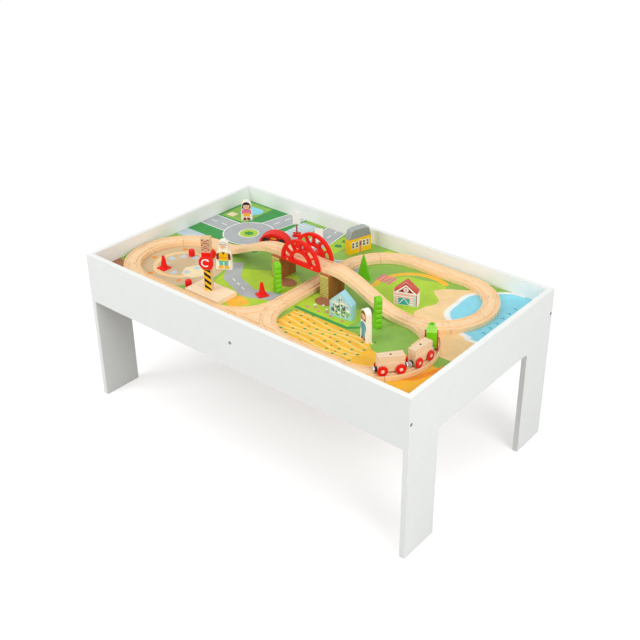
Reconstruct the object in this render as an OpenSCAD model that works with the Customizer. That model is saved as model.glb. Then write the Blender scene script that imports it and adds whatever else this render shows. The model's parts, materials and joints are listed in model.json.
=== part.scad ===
// Wooden train table: a rimmed play table with a printed board, a laid railway with a bridge,
// a crane, a train, a car and loose wooden scenery. Millimetres, +Z up, floor at z = 0.

/* [Table] */
// Length of the table over both end panels
table_l = 957; // [900:1:1100]
// Width of the table from front to back
table_w = 560; // [530:1:640]
// Height of the rim above the floor
table_h = 400; // [340:1:500]
// Thickness of the side boards
panel_t = 13; // [12:0.5:18]
// Height of the side boards, from the rim to their lower edge
apron_h = 126; // [110:1:170]
// Width of each leg, seen from the end of the table
leg_w = 103; // [70:1:140]
// Radius of the upper corners of the gap between the legs
leg_gap_r = 8; // [3:0.5:30]
// Depth of the tray, from the rim down to the play board
tray_d = 40; // [30:1:60]
// Thickness of the play board
board_t = 4; // [3:0.5:8]

/* [Board supports] */
// Height of the ledgers under the edge of the board
ledger_h = 18; // [12:1:30]
// Thickness of the ledgers
ledger_t = 16; // [10:1:24]
// Height of the rail across the middle
rail_h = 38; // [36:1:60]
// Thickness of the rail across the middle
rail_t = 18; // [16:0.5:26]

/* [Fasteners] */
// Diameter of the panel bolts
bolt_d = 5; // [4:0.25:6]
// Length of a panel bolt below its head
bolt_l = 44; // [36:1:60]
// Diameter of a bolt head
bolt_head_d = 8; // [7:0.5:10]
// Thickness of a bolt head
bolt_head_t = 2.5; // [1.5:0.25:4]
// Depth of the bolts below the rim
bolt_drop = 63; // [55:1:70]
// Diameter of the barrel nuts
nut_d = 9; // [8:0.5:12]
// Length of the barrel nuts
nut_l = 10; // [8:0.5:11]
// Diameter of the dowels
dowel_d = 6; // [5:0.5:8]
// Length of the dowels
dowel_l = 28; // [20:1:36]
// Distance from a bolt to the dowels above and below it
dowel_step = 40; // [25:1:45]

/* [Track] */
// Width of the track
track_w = 40; // [38:0.5:44]
// Thickness of the track
track_t = 12; // [11:0.5:15]
// Width of the wheel grooves
groove_w = 8; // [7.5:0.25:9]
// Depth of the wheel grooves
groove_d = 3; // [2:0.25:4]
// Distance from the middle of the track to the middle of a groove
groove_y = 13; // [12.5:0.25:14]
// Width of a joint peg's neck
peg_neck_w = 6; // [4:0.5:7]
// Diameter of a joint peg's head
peg_head_d = 12; // [9:0.5:13]
// Reach of a joint peg beyond the end of its track
peg_reach = 15; // [13:0.5:18]
// Gap from the track to the front and back boards
front_gap = 9; // [5:0.5:14]
// Gap from the left loop to the left end panel
left_gap = 5.5; // [3:0.5:30]
// Gap from the right loop to the right end panel
right_gap = 53.5; // [30:0.5:70]
// Place of the track under the bridge, from the middle of the table
centre_x = 5; // [-10:0.5:20]

/* [Bridge] */
// Length of the bridge deck
deck_l = 150; // [140:1:170]
// Place of the middle of the deck, from the middle of the table
deck_x = -19; // [-24:0.5:0]
// Height of the bridge piers
pier_h = 58; // [54:1:80]
// Thickness of a pier along the track
pier_t = 27; // [20:0.5:34]
// Width of a pier across the track
pier_w = 58; // [58:0.5:80]
// Outer radius of the fan arches
arch_r = 57.5; // [50:0.5:66]
// Thickness of the fan arches
arch_t = 8; // [6:0.5:9]
// Width of the rim and of the inner ring of a fan arch
arch_band = 7.5; // [6:0.5:12]
// Height of the chord along the foot of a fan arch
chord_h = 10; // [9:0.5:12]
// Height of the middle of the rim above the foot of a fan arch
arch_lift = 6; // [2:0.5:8]
// Outer radius of the inner ring of a fan arch
arch_hub_r = 33; // [26:0.5:34]
// Width of the spokes of a fan arch
spoke_w = 4.5; // [3:0.5:8]
// Diameter of the pins that hold the arches to the deck
arch_pin_d = 4; // [3:0.5:5]

/* [Crane] */
// Length of the crane platform
platform_l = 106; // [90:1:112]
// Width of the crane platform
platform_w = 63; // [50:1:70]
// Width of the square mast
mast_w = 17.5; // [15:0.5:25]
// Height of the striped mast
mast_h = 56; // [50:1:75]
// Width of the hub block on the mast
hub_w = 21; // [18:0.5:32]
// Height of the hub block
hub_h = 43; // [36:1:50]
// Height of the head block
head_h = 34; // [30:1:50]
// Width of the head block
head_w = 20.5; // [17:0.5:32]
// Diameter of the front winch disc
winch_d = 33; // [30:0.5:44]
// Diameter of the back winch disc
winch_back_d = 26; // [20:0.5:36]
// Thickness of the winch discs
winch_t = 7; // [5:0.5:10]
// Gap from the hub to the back winch disc
winch_reach = 16; // [2:0.5:20]
// Diameter of the winch shaft
winch_shaft_d = 8; // [6:0.5:10]
// Turn of the crane on its platform
crane_turn = 32; // [0:1:40]

/* [Train] */
// Length of the locomotive and of each wagon
wagon_l = 56; // [54:0.5:62]
// Width of a wagon's body
wagon_w = 20; // [18:0.25:22]
// Height of a wagon's body
wagon_h = 34.5; // [30:0.5:42]
// Width of the locomotive's body
loco_w = 22; // [20:0.25:22.5]
// Gap from the track up to a wagon's body
ride_h = 4.5; // [3.5:0.25:6]
// Diameter of the train wheels
wheel_d = 22.5; // [20:0.5:26]
// Thickness of the train wheels
wheel_t = 3.2; // [2.6:0.1:3.4]
// Distance between the axles of a wagon
wheelbase = 38.5; // [34:0.5:40]
// Diameter of the axles
axle_d = 4; // [3:0.25:5]
// Diameter of the magnet couplers
coupler_d = 11; // [7:0.5:12]
// Length of the magnet couplers
coupler_l = 8; // [5:0.25:9]
// Place of the middle wagon on the front right curve, from the table's length axis
train_turn = -2; // [-6:0.5:4]

/* [Car] */
// Length of the car
car_l = 74; // [66:0.5:84]
// Width of the car's body
car_w = 30; // [24:0.5:34]
// Height of the car's roof above the board
car_h = 29; // [26:0.5:34]
// Diameter of the car wheels
car_wheel_d = 17; // [15:0.5:20]
// Heading of the car from the table's length axis
car_turn = 25; // [15:1:30]

/* [Scenery] */
// Thickness of the figures and trees
cutout_t = 14; // [8:0.5:18]
// Height of the girl
girl_h = 57; // [50:1:70]
// Width of the girl
girl_w = 30; // [26:0.5:34]
// Height of the worker
worker_h = 78; // [66:1:86]
// Width of the worker
worker_w = 41; // [32:0.5:46]
// Height of the lady
lady_h = 77; // [66:1:86]
// Width of the lady
lady_w = 30; // [26:0.5:36]
// Height of the poplar trees
poplar_h = 77; // [68:1:92]
// Width of the poplar trees
poplar_w = 20; // [16:0.5:22]
// Height of the pointed tree
fir_h = 64; // [56:1:90]
// Width of the pointed tree
fir_w = 33; // [26:1:50]
// Width of the blue house
blue_w = 57; // [46:1:60]
// Depth of the blue house
blue_t = 21; // [14:0.5:24]
// Height of the blue house
blue_h = 64; // [56:1:76]
// Width of the barn
barn_w = 57; // [46:1:60]
// Depth of the barn
barn_t = 18; // [14:0.5:24]
// Height of the barn
barn_h = 62; // [54:1:80]
// Length of the yellow house
yellow_l = 67; // [58:1:78]
// Depth of the yellow house
yellow_t = 20; // [14:0.5:28]
// Height of the yellow house
yellow_h = 66; // [58:1:80]
// Width of a cone's square base
cone_w = 25; // [20:0.5:28]
// Height of a cone
cone_h = 34; // [28:0.5:42]
// Diameter of a barrel's belly
barrel_d = 16; // [12:0.5:20]
// Height of a barrel
barrel_h = 17; // [12:0.5:24]
// Height of the road signs
sign_h = 68; // [58:1:80]
// Width of a road sign's board
sign_w = 20; // [16:0.5:26]
// Height of a road sign's board
sign_board_h = 35; // [26:0.5:40]

/* [Hidden] */
$fn = 48;

// Overrun of every cut, gap of fixed fits, running fit of turning pins and gap of loose neighbours
over = 1;
fit = 0.1;
running = 0.05;
loose = 0.3;
joint_gap = 0.4;
peg_fit = 0.5;

// Table
tray_l = table_l - 2 * panel_t;
tray_w = table_w - 2 * panel_t;
board_z = table_h - tray_d;
apron_z = table_h - apron_h;
bolt_z = table_h - bolt_drop;
support_z = board_z - board_t;
rail_z = support_z - rail_h;
nut_in = bolt_l - bolt_head_t - nut_d;
dowel_in = dowel_l / 3;
dowel_zs = [bolt_z - dowel_step, bolt_z + dowel_step];

// Track plan: the loops fill the tray's width, and the straights fill what is left of its length
curve_r = (tray_w / 2 - front_gap - track_w / 2) / 2;
left_x = -tray_l / 2 + left_gap + track_w / 2 + curve_r;
right_x = tray_l / 2 - right_gap - track_w / 2 - curve_r;
front_y = -2 * curve_r;
back_y = 2 * curve_r;
track_z = board_z + track_t;
curve_a = 45;
gap_a = joint_gap / 2 / curve_r * 180 / PI;

// Bridge
deck_z = board_z + pier_h;
deck_left_x = deck_x - deck_l / 2;
deck_right_x = deck_x + deck_l / 2;
ramp_steps = 24;
ramp_level = peg_reach;
arch_y = track_w / 2;
arch_void_r = arch_r - arch_band;
arch_eye_r = arch_hub_r - arch_band;
arch_spokes = 5;
pin_x = arch_r - 2 * chord_h;
pin_z = deck_z + track_t / 2;
pin_in = track_w / 8;

// Crane
platform_side_share = 0.406;
platform_gap = 5;
platform_x = centre_x - curve_r - platform_l * platform_side_share;
platform_y = front_y + track_w / 2 + platform_gap + platform_w / 2;
mast_shares = [-0.04, 0.005];
winch_share = 0.48;
winch_h = mast_h + hub_h * winch_share;
winch_boss_d = (winch_shaft_d + winch_back_d) / 2;

// Train: the vehicles stand on the front right curve, a coupler apart
groove_z = track_z - groove_d;
wheel_r = wheel_d / 2;
axle_z = groove_z + loose + wheel_r;
wagon_z = track_z + ride_h;
ride_r = sqrt(curve_r * curve_r - wheelbase * wheelbase / 4);
coupler_gap = 0.8;
vehicle_reach = wagon_l / 2 + coupler_l + coupler_gap / 2;
vehicle_a = 2 * atan(vehicle_reach / (ride_r - coupler_d / 2));
loco_a = train_turn + vehicle_a;
wagon_a_a = train_turn - vehicle_a;
wagon_b_a = train_turn;
hub_cap_d = wheel_d / 3;
hub_cap_t = wheel_t / 4;
load_hole_d = wagon_w / 4;
loco_deck_share = 0.45;
cab_l_share = 0.42;
cab_h_share = 0.65;
boiler_w_share = 0.7;
boiler_h_share = 0.45;
chimney_w_share = 0.8;
chimney_h_share = 1.13;
chimney_bore_share = 0.7;
loco_deck_z = wagon_z + wagon_h * loco_deck_share;
cab_l = wagon_l * cab_l_share;
cab_top_z = loco_deck_z + wagon_h * cab_h_share;
boiler_l = wagon_l - cab_l;
boiler_w = loco_w * boiler_w_share;
boiler_h = wagon_h * boiler_h_share;
chimney_d = boiler_w * chimney_w_share;
chimney_h = boiler_h * chimney_h_share;

// Car
car_shares = [-0.492, 0.434];
car_wheelbase_share = 0.56;
car_dome_share = 0.62;
car_axle_z = board_z + loose + car_wheel_d / 2;
car_wheelbase = car_l * car_wheelbase_share;
car_wheel_t = car_w / 6;
car_axle_d = car_wheel_d / 5;
car_sill = car_wheel_d / 4;
car_dome_r = car_l * car_dome_share;
car_arch_gap = 1;

// Places of the scenery: shares of the tray's half sizes, or of the curve radius from the middle of a loop
girl_shares = [-0.818, 0.637];
tall_sign_shares = [-0.455, 0.674];
small_sign_shares = [-0.215, 0.513];
yellow_shares = [-0.075, 0.792];
worker_shares = [0.803, 0.424];
loop_cone_share = 0.386;
loop_cone_y_share = -0.353;
back_barrel_shares = [-0.13, 0.395];
front_barrel_gap = 7;
front_barrel_y_share = -0.087;
left_poplar_shares = [-0.429, -0.63];
near_cone_shares = [-0.571, -0.924];
fir_shares = [0.538, 0.849];
blue_shares = [-1.101, 0.437];
right_poplar_shares = [-0.353, 0.529];
lady_shares = [-0.244, 0.042];
barn_shares = [-0.454, -0.43];

// Turns of the scenery about its upright axis
girl_turn = 40;
worker_turn = 33;
lady_turn = -25;
left_poplar_turn = -23;
right_poplar_turn = -33;
fir_turn = 38;
blue_turn = 8;
barn_turn = 22;
near_cone_turn = -24;
sign_turn = 38;
yellow_turn = 74;

// Details of the scenery, as shares of the piece that carries them
figure_head_share = 0.42;
worker_head_share = 0.29;
figure_neck_share = 0.62;
figure_shoulder_share = 0.9;
poplar_lobes = 6;
poplar_trunk_share = 0.7;
fir_tip_share = 0.06;
blue_eave_share = 0.58;
barn_eave_share = 0.59;
yellow_eave_share = 0.62;
yellow_knee_shares = [0.4, 0.85];
yellow_ridge_share = 0.24;
sign_base_share = 0.09;
sign_board_t_share = 0.2;
sign_pole_share = 0.2;
cone_foot_share = 0.09;
cone_low_share = 0.37;
cone_tip_share = 0.12;
barrel_end_share = 0.88;

wood = [0.93, 0.78, 0.6];
pale_wood = [0.95, 0.86, 0.72];
brown_wood = [0.62, 0.42, 0.26];
white_board = [0.95, 0.95, 0.94];
steel = [0.35, 0.35, 0.36];
red = [0.85, 0.1, 0.1];
green = [0.45, 0.78, 0.15];
black = [0.1, 0.1, 0.1];

// Plan shapes of the track

// A joint peg on the end of a track, reaching along +X, grown by a clearance
module peg_shape(grow) {
    translate([-over, -peg_neck_w / 2 - grow])
        square([peg_reach - peg_head_d / 2 + over, peg_neck_w + 2 * grow]);
    translate([peg_reach - peg_head_d / 2, 0]) circle(d = peg_head_d + 2 * grow);
}

// A ring sector between two angles
module ring_sector(r_in, r_out, a0, a1) {
    reach = 2 * r_out;
    mid = (a0 + a1) / 2;
    intersection() {
        difference() {
            circle(r = r_out, $fn = 180);
            circle(r = r_in, $fn = 180);
        }
        polygon([
            [0, 0], reach * [cos(a0), sin(a0)], reach * [cos(mid), sin(mid)], reach * [cos(a1), sin(a1)]
        ]);
    }
}

// Both wheel grooves of a straight, from x = 0 to its length
module groove_strips(l) {
    for (side = [-1, 1])
        translate([-over, side * groove_y - groove_w / 2]) square([l + 2 * over, groove_w]);
}

// Both wheel grooves of a curve, run past its ends
module groove_rings(a0, a1) {
    past = asin(over / curve_r);
    for (side = [-1, 1]) {
        r = curve_r + side * groove_y;
        ring_sector(r - groove_w / 2, r + groove_w / 2, a0 - past, a1 + past);
    }
}

// Places its child on the centre line of a curve, looking along the way of travel
module on_curve(a, way) {
    translate(curve_r * [cos(a), sin(a)]) rotate(a + 90 * way) children();
}

// A straight track along +X from the origin: socket at its start, peg at its end
module straight_track(l) {
    translate([0, 0, board_z]) difference() {
        linear_extrude(track_t) {
            difference() {
                translate([joint_gap / 2, -track_w / 2]) square([l - joint_gap, track_w]);
                peg_shape(peg_fit);
            }
            translate([l, 0]) peg_shape(0);
        }
        translate([0, 0, track_t - groove_d]) linear_extrude(groove_d + over) groove_strips(l);
    }
}

// A curved track round the origin from one angle to the next: socket at its start, peg at its end
module curved_track(a0, a1) {
    way = sign(a1 - a0);
    low = min(a0, a1);
    high = max(a0, a1);
    translate([0, 0, board_z]) difference() {
        linear_extrude(track_t) {
            difference() {
                ring_sector(curve_r - track_w / 2, curve_r + track_w / 2, low + gap_a, high - gap_a);
                on_curve(a0, way) peg_shape(peg_fit);
            }
            on_curve(a1, way) peg_shape(0);
        }
        translate([0, 0, track_t - groove_d]) linear_extrude(groove_d + over) groove_rings(low, high);
    }
}

// A run of curved tracks from an angle, each turning by the same step
module curve_run(a0, count, step) {
    for (i = [0 : count - 1])
        curved_track(a0 + i * step, a0 + (i + 1) * step);
}

// Side view of a ramp: level at both ends, with a smooth rise between them
function rise(u) = pier_h * (1 - cos(180 * u)) / 2;
function ramp_line(l, drop) = concat(
    [[0, -drop]],
    [for (u = [0 : 1 / ramp_steps : 1]) [ramp_level + (l - 2 * ramp_level) * u, rise(u) - drop]],
    [[l, pier_h - drop]]
);
function reversed(list) = [for (i = [len(list) - 1 : -1 : 0]) list[i]];

module ramp_side(l, top_drop, bottom_drop) {
    polygon(concat(ramp_line(l, bottom_drop), reversed(ramp_line(l, top_drop))));
}

// A ramp that climbs along +X from the origin; a climbing ramp has its socket below and its peg above
module ramp_track(l, climbing) {
    socket_x = climbing ? 0 : l;
    peg_x = climbing ? l : 0;
    peg_z = climbing ? deck_z : board_z;
    turn = climbing ? 0 : 180;
    difference() {
        intersection() {
            translate([0, track_w / 2, track_z]) rotate([90, 0, 0]) linear_extrude(track_w)
                ramp_side(l, 0, track_t);
            translate([joint_gap / 2, -track_w, 0]) cube([l - joint_gap, 2 * track_w, 2 * table_h]);
        }
        translate([socket_x, 0, 0]) rotate(turn) linear_extrude(2 * table_h) peg_shape(peg_fit);
        for (side = [-1, 1])
            translate([0, side * groove_y + groove_w / 2, track_z]) rotate([90, 0, 0])
                linear_extrude(groove_w) ramp_side(l, -over, groove_d);
    }
    translate([peg_x, 0, peg_z]) rotate(turn) linear_extrude(track_t) peg_shape(0);
}

// Table pieces

// Centre lines of the bolts: place and direction of each shank
end_bolts = [for (side = [-1, 1], edge = [-1, 1]) [side, edge * (table_w - panel_t) / 2]];

// A bolt with its head at the origin, or the hole for it where it is grown by a clearance
module bolt_shape(grow) {
    past = over * sign(grow);
    translate([0, 0, -past]) cylinder(d = bolt_head_d + 2 * grow, h = bolt_head_t + past);
    cylinder(d = bolt_d + 2 * grow, h = bolt_l + past);
}

// Places its child at every bolt head, pointing along the shank into the table
module at_end_bolts(side_wanted = 0) {
    for (b = end_bolts)
        if (side_wanted == 0 || b[0] == side_wanted)
            translate([b[0] * table_l / 2, b[1], bolt_z]) rotate([0, -90 * b[0], 0]) children();
}

module at_rail_bolts(edge_wanted = 0) {
    for (edge = [-1, 1])
        if (edge_wanted == 0 || edge == edge_wanted)
            translate([0, edge * table_w / 2, bolt_z]) rotate([90 * edge, 0, 0]) children();
}

// Places its child at every dowel, pointing outwards, from the joint face of the end panel
module at_dowels(side_wanted = 0) {
    for (b = end_bolts, z = dowel_zs)
        if (side_wanted == 0 || b[0] == side_wanted)
            translate([b[0] * tray_l / 2, b[1], z]) rotate([0, 90 * b[0], 0]) children();
}

module dowel_shape(grow) {
    translate([0, 0, dowel_in - dowel_l - grow]) cylinder(d = dowel_d + 2 * grow, h = dowel_l + 2 * grow);
}

// Places its child at every barrel nut, along the nut and towards the side that its hole is drilled from
module at_apron_nuts() {
    for (b = end_bolts)
        translate([b[0] * (table_l / 2 - bolt_head_t - nut_in), b[1], bolt_z])
            rotate([90 * sign(b[1]), 0, 0]) children();
}

module at_rail_nuts() {
    for (edge = [-1, 1])
        translate([0, edge * (table_w / 2 - bolt_head_t - nut_in), bolt_z]) rotate([0, 90, 0]) children();
}

module nut_shape(grow, l) {
    translate([0, 0, -nut_l / 2 - grow]) cylinder(d = nut_d + 2 * grow, h = l);
}

module apron(edge) {
    color(white_board) difference() {
        translate([-tray_l / 2, edge * (table_w - panel_t) / 2 - panel_t / 2, apron_z])
            cube([tray_l, panel_t, apron_h]);
        at_end_bolts() bolt_shape(fit);
        at_rail_bolts(edge) bolt_shape(fit);
        at_dowels() dowel_shape(fit);
        at_apron_nuts() nut_shape(fit, panel_t);
    }
}

module front_apron() { apron(-1); }
module back_apron() { apron(1); }

// Upright outline of an end panel: both legs and the end board in one piece
module end_panel_shape() {
    gap_w = table_w - 2 * leg_w;
    difference() {
        translate([-table_w / 2, 0]) square([table_w, table_h]);
        translate([-gap_w / 2, -over]) square([gap_w, apron_z - leg_gap_r + over]);
        translate([-gap_w / 2 + leg_gap_r, 0]) square([gap_w - 2 * leg_gap_r, apron_z]);
        for (side = [-1, 1])
            translate([side * (gap_w / 2 - leg_gap_r), apron_z - leg_gap_r]) circle(r = leg_gap_r);
    }
}

module end_panel(side) {
    color(white_board) difference() {
        translate([side * (table_l - panel_t) / 2 - panel_t / 2, 0, 0]) rotate([90, 0, 90])
            linear_extrude(panel_t) end_panel_shape();
        at_end_bolts(side) bolt_shape(fit);
        at_dowels(side) dowel_shape(fit);
    }
}

module left_end_panel() { end_panel(-1); }
module right_end_panel() { end_panel(1); }

module play_board() {
    color("yellowgreen") translate([-tray_l / 2 + fit, -tray_w / 2 + fit, support_z])
        cube([tray_l - 2 * fit, tray_w - 2 * fit, board_t]);
}

module board_ledgers() {
    half_l = tray_l / 2 - rail_t / 2 - fit;
    color(pale_wood) for (side = [-1, 1]) {
        for (edge = [-1, 1])
            translate([side * (rail_t / 2 + fit + half_l / 2) - half_l / 2,
                edge * (tray_w - ledger_t) / 2 - ledger_t / 2, support_z - ledger_h])
                cube([half_l, ledger_t, ledger_h]);
        translate([side * (tray_l - ledger_t) / 2 - ledger_t / 2,
            -tray_w / 2 + ledger_t + fit, support_z - ledger_h])
            cube([ledger_t, tray_w - 2 * ledger_t - 2 * fit, ledger_h]);
    }
}

module cross_rail() {
    color(pale_wood) difference() {
        translate([-rail_t / 2, -tray_w / 2, rail_z]) cube([rail_t, tray_w, rail_h]);
        at_rail_bolts() bolt_shape(fit);
        at_rail_nuts() nut_shape(fit, rail_t);
    }
}

module panel_bolts() {
    color(steel) {
        at_end_bolts() bolt_shape(0);
        at_rail_bolts() bolt_shape(0);
    }
}

module barrel_nuts() {
    color("silver") difference() {
        union() {
            at_apron_nuts() nut_shape(0, nut_l);
            at_rail_nuts() nut_shape(0, nut_l);
        }
        at_end_bolts() bolt_shape(fit);
        at_rail_bolts() bolt_shape(fit);
    }
}

module panel_dowels() {
    color(wood) at_dowels() dowel_shape(0);
}

// Track pieces

module left_curves() {
    color(wood) translate([left_x, -curve_r, 0]) curve_run(90, 4, curve_a);
}

module front_right_curves() {
    color(wood) translate([right_x, -curve_r, 0]) curve_run(-90, 3, curve_a);
}

module back_right_curves() {
    color(wood) translate([right_x, curve_r, 0]) curve_run(90, 3, -curve_a);
}

module back_left_curves() {
    color(wood) translate([centre_x + curve_r, curve_r, 0]) curve_run(180, 2, -curve_a);
}

module straight_tracks() {
    color(wood) {
        translate([left_x, front_y, 0]) straight_track(centre_x - curve_r - left_x);
        translate([centre_x + curve_r, front_y, 0]) straight_track(right_x - centre_x - curve_r);
        translate([centre_x + curve_r, back_y, 0]) straight_track(right_x - centre_x - curve_r);
        translate([centre_x, -curve_r, 0]) rotate(90) straight_track(2 * curve_r);
    }
}

// Three-way switch at the front: left, right and up the middle, with a solid web between its arms
module front_switch_plan() {
    outer_r = curve_r + track_w / 2;
    web_low = track_w / 2 - over;
    web_half = curve_r - sqrt(pow(outer_r, 2) - pow(curve_r - web_low, 2));
    web_top = curve_r - sqrt(pow(outer_r, 2) - pow(curve_r, 2));
    difference() {
        union() {
            translate([-curve_r + joint_gap / 2, -track_w / 2]) square([2 * curve_r - joint_gap, track_w]);
            for (side = [0, 1])
                mirror([side, 0]) translate([-curve_r, curve_r])
                    ring_sector(curve_r - track_w / 2, outer_r, -90 + gap_a, -gap_a);
            polygon([[-web_half, web_low], [web_half, web_low], [0, web_top + over]]);
        }
        translate([-curve_r, 0]) peg_shape(peg_fit);
    }
    translate([curve_r, 0]) peg_shape(0);
    translate([0, curve_r]) rotate(90) peg_shape(0);
}

module front_switch() {
    color(wood) translate([centre_x, front_y, board_z]) difference() {
        linear_extrude(track_t) front_switch_plan();
        translate([0, 0, track_t - groove_d]) linear_extrude(groove_d + over) {
            translate([-curve_r, 0]) groove_strips(2 * curve_r);
            for (side = [0, 1])
                mirror([side, 0]) translate([-curve_r, curve_r]) groove_rings(-90, 0);
        }
    }
}

// Two-way switch at the right, where both right loops join the bridge line
module right_switch() {
    color(wood) translate([right_x, 0, board_z]) difference() {
        linear_extrude(track_t) {
            difference() {
                for (side = [0, 1])
                    mirror([0, side]) translate([0, -curve_r])
                        ring_sector(curve_r - track_w / 2, curve_r + track_w / 2,
                            curve_a + gap_a, 90 - gap_a);
                for (side = [0, 1])
                    mirror([0, side]) translate([0, -curve_r]) on_curve(curve_a, 1) peg_shape(peg_fit);
            }
            rotate(180) peg_shape(0);
        }
        translate([0, 0, track_t - groove_d]) linear_extrude(groove_d + over)
            for (side = [0, 1])
                mirror([0, side]) translate([0, -curve_r]) groove_rings(curve_a, 90);
    }
}

module left_ramp() {
    color(wood) translate([left_x, 0, 0]) ramp_track(deck_left_x - left_x, false);
}

module right_ramp() {
    color(wood) translate([right_x, 0, 0]) mirror([1, 0, 0]) ramp_track(right_x - deck_right_x, true);
}

// Bridge pieces

// The pins of both arches, or the holes for them where they are grown by a clearance
module arch_pin_shapes(grow) {
    past = over * sign(grow);
    for (edge = [-1, 1], side = [-1, 1])
        translate([deck_x + side * pin_x, edge * (arch_y + arch_t), pin_z]) rotate([90 * edge, 0, 0])
            translate([0, 0, -past])
                cylinder(d = arch_pin_d + 2 * grow, h = arch_t + pin_in + past + grow);
}

module bridge_deck() {
    color(wood) difference() {
        translate([deck_right_x, 0, pier_h]) rotate(180) straight_track(deck_l);
        arch_pin_shapes(fit);
    }
}

module bridge_piers() {
    color(brown_wood) for (x = [deck_left_x, deck_right_x])
        translate([x - pier_t / 2, -pier_w / 2, board_z]) cube([pier_t, pier_w, pier_h]);
}

// Outline of a fan arch on its foot: chord, and rim, inner ring and spokes about a raised middle
module fan_shape() {
    intersection() {
        union() {
            translate([-arch_r, 0]) square([2 * arch_r, chord_h]);
            translate([0, arch_lift]) fan_bars();
        }
        union() {
            translate([-arch_r, 0]) square([2 * arch_r, arch_lift]);
            translate([0, arch_lift]) circle(r = arch_r, $fn = 96);
        }
        translate([-arch_r, 0]) square([2 * arch_r, arch_lift + arch_r]);
    }
}

module fan_bars() {
    difference() {
        circle(r = arch_r, $fn = 96);
        circle(r = arch_void_r, $fn = 96);
    }
    difference() {
        circle(r = arch_hub_r, $fn = 96);
        circle(r = arch_eye_r, $fn = 96);
    }
    for (i = [1 : arch_spokes])
        rotate(180 * i / (arch_spokes + 1)) translate([arch_hub_r - arch_band / 2, -spoke_w / 2])
            square([arch_void_r - arch_hub_r + arch_band, spoke_w]);
}

module fan_arch(edge) {
    color(red) difference() {
        translate([deck_x, edge * (arch_y + arch_t / 2) + arch_t / 2, deck_z]) rotate([90, 0, 0])
            linear_extrude(arch_t) fan_shape();
        arch_pin_shapes(fit);
    }
}

module front_arch() { fan_arch(-1); }
module back_arch() { fan_arch(1); }

module arch_pins() {
    color(pale_wood) arch_pin_shapes(0);
}

// Crane

module at_mast() {
    translate([platform_x + mast_shares[0] * platform_l, platform_y + mast_shares[1] * platform_w, track_z])
        rotate(crane_turn) children();
}

// A square block of the crane, standing on the blocks below it
module mast_block(w, z, h) {
    at_mast() translate([-w / 2, -w / 2, z]) cube([w, w, h]);
}

module crane_platform() {
    color(wood) translate([platform_x - platform_l / 2, platform_y - platform_w / 2, board_z])
        cube([platform_l, platform_w, track_t]);
}

module crane_mast() { color("gold") mast_block(mast_w, 0, mast_h); }

module crane_hub() {
    color(red) difference() {
        mast_block(hub_w, mast_h, hub_h);
        at_mast() translate([0, hub_w / 2 + over, winch_h]) rotate([90, 0, 0])
            cylinder(d = winch_shaft_d + 2 * running, h = hub_w + 2 * over);
    }
}

module crane_head() { color(brown_wood) mast_block(head_w, mast_h + hub_h, head_h); }

// Front disc and back disc on one shaft through the hub, with a boss that keeps the back disc off it
module winch_discs() {
    back = -hub_w / 2 - winch_reach;
    color(red) at_mast() translate([0, 0, winch_h]) rotate([90, 0, 0]) {
        translate([0, 0, hub_w / 2 + loose]) cylinder(d = winch_d, h = winch_t);
        translate([0, 0, back]) cylinder(d = winch_shaft_d, h = hub_w + winch_reach + winch_t);
        translate([0, 0, back]) cylinder(d = winch_boss_d, h = winch_reach - loose);
        translate([0, 0, back - winch_t]) cylinder(d = winch_back_d, h = winch_t);
    }
}

// Train

// Places its child on the front right curve, with its own +X along the track
module on_rails(a) {
    translate([right_x, -curve_r, 0]) rotate(a) translate([ride_r, 0, 0]) rotate(90) children();
}

module wheelset(end) {
    axle_l = 2 * groove_y + wheel_t;
    translate([end * wheelbase / 2, 0, axle_z]) rotate([90, 0, 0]) {
        translate([0, 0, -axle_l / 2]) cylinder(d = axle_d, h = axle_l);
        for (side = [-1, 1]) {
            translate([0, 0, side * groove_y - wheel_t / 2]) cylinder(d = wheel_d, h = wheel_t);
            translate([0, 0, side * (axle_l + hub_cap_t) / 2 - hub_cap_t / 2])
                cylinder(d = hub_cap_d, h = hub_cap_t);
        }
    }
}

module axle_bores(w) {
    for (end = [-1, 1])
        translate([end * wheelbase / 2, w, axle_z]) rotate([90, 0, 0])
            cylinder(d = axle_d + 2 * running, h = 2 * w);
}

module couplers() {
    for (end = [-1, 1])
        translate([end * wagon_l / 2, 0, axle_z]) rotate([0, 90 * end, 0])
            cylinder(d = coupler_d, h = coupler_l);
}

module wagon_body() {
    difference() {
        translate([-wagon_l / 2, -wagon_w / 2, wagon_z]) cube([wagon_l, wagon_w, wagon_h]);
        axle_bores(wagon_w);
        translate([0, 0, wagon_z + wagon_h - load_hole_d]) cylinder(d = load_hole_d, h = load_hole_d + over);
    }
}

module wagon_a_body() { color(wood) on_rails(wagon_a_a) wagon_body(); }
module wagon_a_couplers() { color(black) on_rails(wagon_a_a) couplers(); }
module wagon_a_front_wheels() { color(red) on_rails(wagon_a_a) wheelset(1); }
module wagon_a_rear_wheels() { color(red) on_rails(wagon_a_a) wheelset(-1); }
module wagon_b_body() { color(wood) on_rails(wagon_b_a) wagon_body(); }
module wagon_b_couplers() { color(black) on_rails(wagon_b_a) couplers(); }
module wagon_b_front_wheels() { color(red) on_rails(wagon_b_a) wheelset(1); }
module wagon_b_rear_wheels() { color(red) on_rails(wagon_b_a) wheelset(-1); }
module loco_couplers() { color(black) on_rails(loco_a) couplers(); }
module loco_front_wheels() { color(red) on_rails(loco_a) wheelset(1); }
module loco_rear_wheels() { color(red) on_rails(loco_a) wheelset(-1); }

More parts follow.
